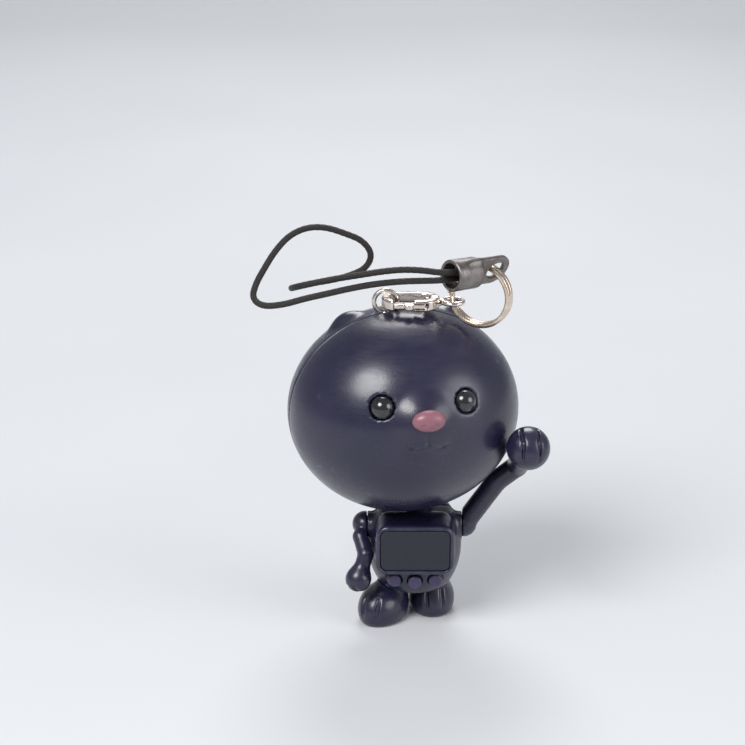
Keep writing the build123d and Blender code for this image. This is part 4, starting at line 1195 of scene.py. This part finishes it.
def braid_lift(phase, angle):
    """How high the nearer of two crossing strands stands, from -1 to 1."""
    lean = STRANDS * angle / 2
    return max(math.sin(phase + lean), math.sin(phase - lean))


def make_cord(materials):
    """Braided tube: two crossing sets of strands raised on its surface."""
    line, travelled = resample(line_of(route_curve()), CORD_STEP * MM)
    around = 20
    pitch = BRAID_PITCH * MM
    drawing = bmesh.new()
    uv_of = {}
    rows = []
    normal = (line[1] - line[0]).normalized().orthogonal().normalized()
    for index, point in enumerate(line):
        before = line[max(0, index - 1)]
        after = line[min(len(line) - 1, index + 1)]
        tangent = (after - before).normalized()
        normal = (normal - tangent * normal.dot(tangent)).normalized()
        side = tangent.cross(normal)
        row = []
        for corner in range(around):
            angle = 2 * math.pi * corner / around
            lift = braid_lift(2 * math.pi * travelled[index] / pitch, angle)
            radius = CORD_DIAMETER / 2 * MM * (1 - BRAID_RELIEF + BRAID_RELIEF * lift)
            outward = normal * math.cos(angle) + side * math.sin(angle)
            vertex = drawing.verts.new(point + outward * radius)
            uv_of[vertex] = (travelled[index] / pitch, corner / around)
            row.append(vertex)
        rows.append(row)
    layer = drawing.loops.layers.uv.new("strands")
    for face in skin(drawing, rows):
        closes = max(uv_of[vertex][1] for vertex in face.verts) > 0.5
        for loop in face.loops:
            u, v = uv_of[loop.vert]
            loop[layer].uv = (u, 1.0 if closes and v == 0 else v)
    bmesh.ops.recalc_face_normals(drawing, faces=drawing.faces)
    piece = add_drawn("cord_loop", drawing)
    dress(piece, materials, "cap", "cord_fabric", "strap_cord")


# --- CAD nodes that keep their own shape ---
def finish_nodes(materials):
    for row in frame["record"]["subparts"]:
        node = nodes[row["node"]]
        node.data.materials.clear()
        node.data.materials.append(materials[row["material_slot"]])


# --- floor and light ---
def stage_material():
    material, tree, shader, where = fresh("pale_floor")
    stops = [(0.3, (0.60, 0.61, 0.63)), (0.7, (0.64, 0.65, 0.67))]
    tone = ramp(tree, noise(tree, where, 6.0, 2.0), stops)
    tree.links.new(tone, shader.inputs["Base Color"])
    shader.inputs["Roughness"].default_value = 0.75
    shader.inputs["Specular IOR Level"].default_value = 0.2
    return material


def make_floor():
    """Flat floor that bends up into a backdrop behind the figure, in metres."""
    half_width = 1.2
    front = -1.0
    back = 0.5
    bend = 0.25
    top = 1.2
    profile = [(front, 0.0), (back, 0.0)]
    for step in range(1, 9):
        angle = math.pi / 2 * step / 8
        profile.append((back + bend * math.sin(angle), bend - bend * math.cos(angle)))
    profile.append((back + bend, top))
    drawing = bmesh.new()
    sides = (-half_width, half_width)
    rows = [[drawing.verts.new((x, y, z)) for x in sides] for y, z in profile]
    for before, after in zip(rows, rows[1:]):
        drawing.faces.new((before[0], before[1], after[1], after[0]))
    floor = add_drawn("floor", drawing)
    floor.data.materials.append(stage_material())


def area_light(name, place, target, size, power):
    light = bpy.data.lights.new(name, "AREA")
    light.shape = "DISK"
    light.size = size
    light.energy = power
    lamp = bpy.data.objects.new(name, light)
    bpy.context.scene.collection.objects.link(lamp)
    lamp.location = place
    aim = Vector(target) - Vector(place)
    lamp.rotation_euler = aim.to_track_quat("-Z", "Y").to_euler()


def make_light():
    world = bpy.data.worlds.new("studio")
    bpy.context.scene.world = world
    world.use_nodes = True
    sky = world.node_tree.nodes["Background"]
    sky.inputs["Color"].default_value = (0.80, 0.83, 0.88, 1)
    sky.inputs["Strength"].default_value = 0.42
    middle = (0, 0, 0.035)
    area_light("key", (-0.28, -0.37, 0.50), middle, 0.35, 3.6)
    area_light("fill", (0.51, -0.24, 0.25), middle, 0.40, 1.4)
    area_light("rim", (0.01, 0.41, 0.45), middle, 0.30, 1.6)


make_camera()
materials = make_materials()
finish_nodes(materials)
make_cord(materials)
make_head(materials)
make_torso(materials)
make_limbs(materials)
make_clasp(materials)
make_ring(materials)
make_cap(materials)
make_floor()
make_light()
bpy.context.scene.view_settings.view_transform = "Standard"
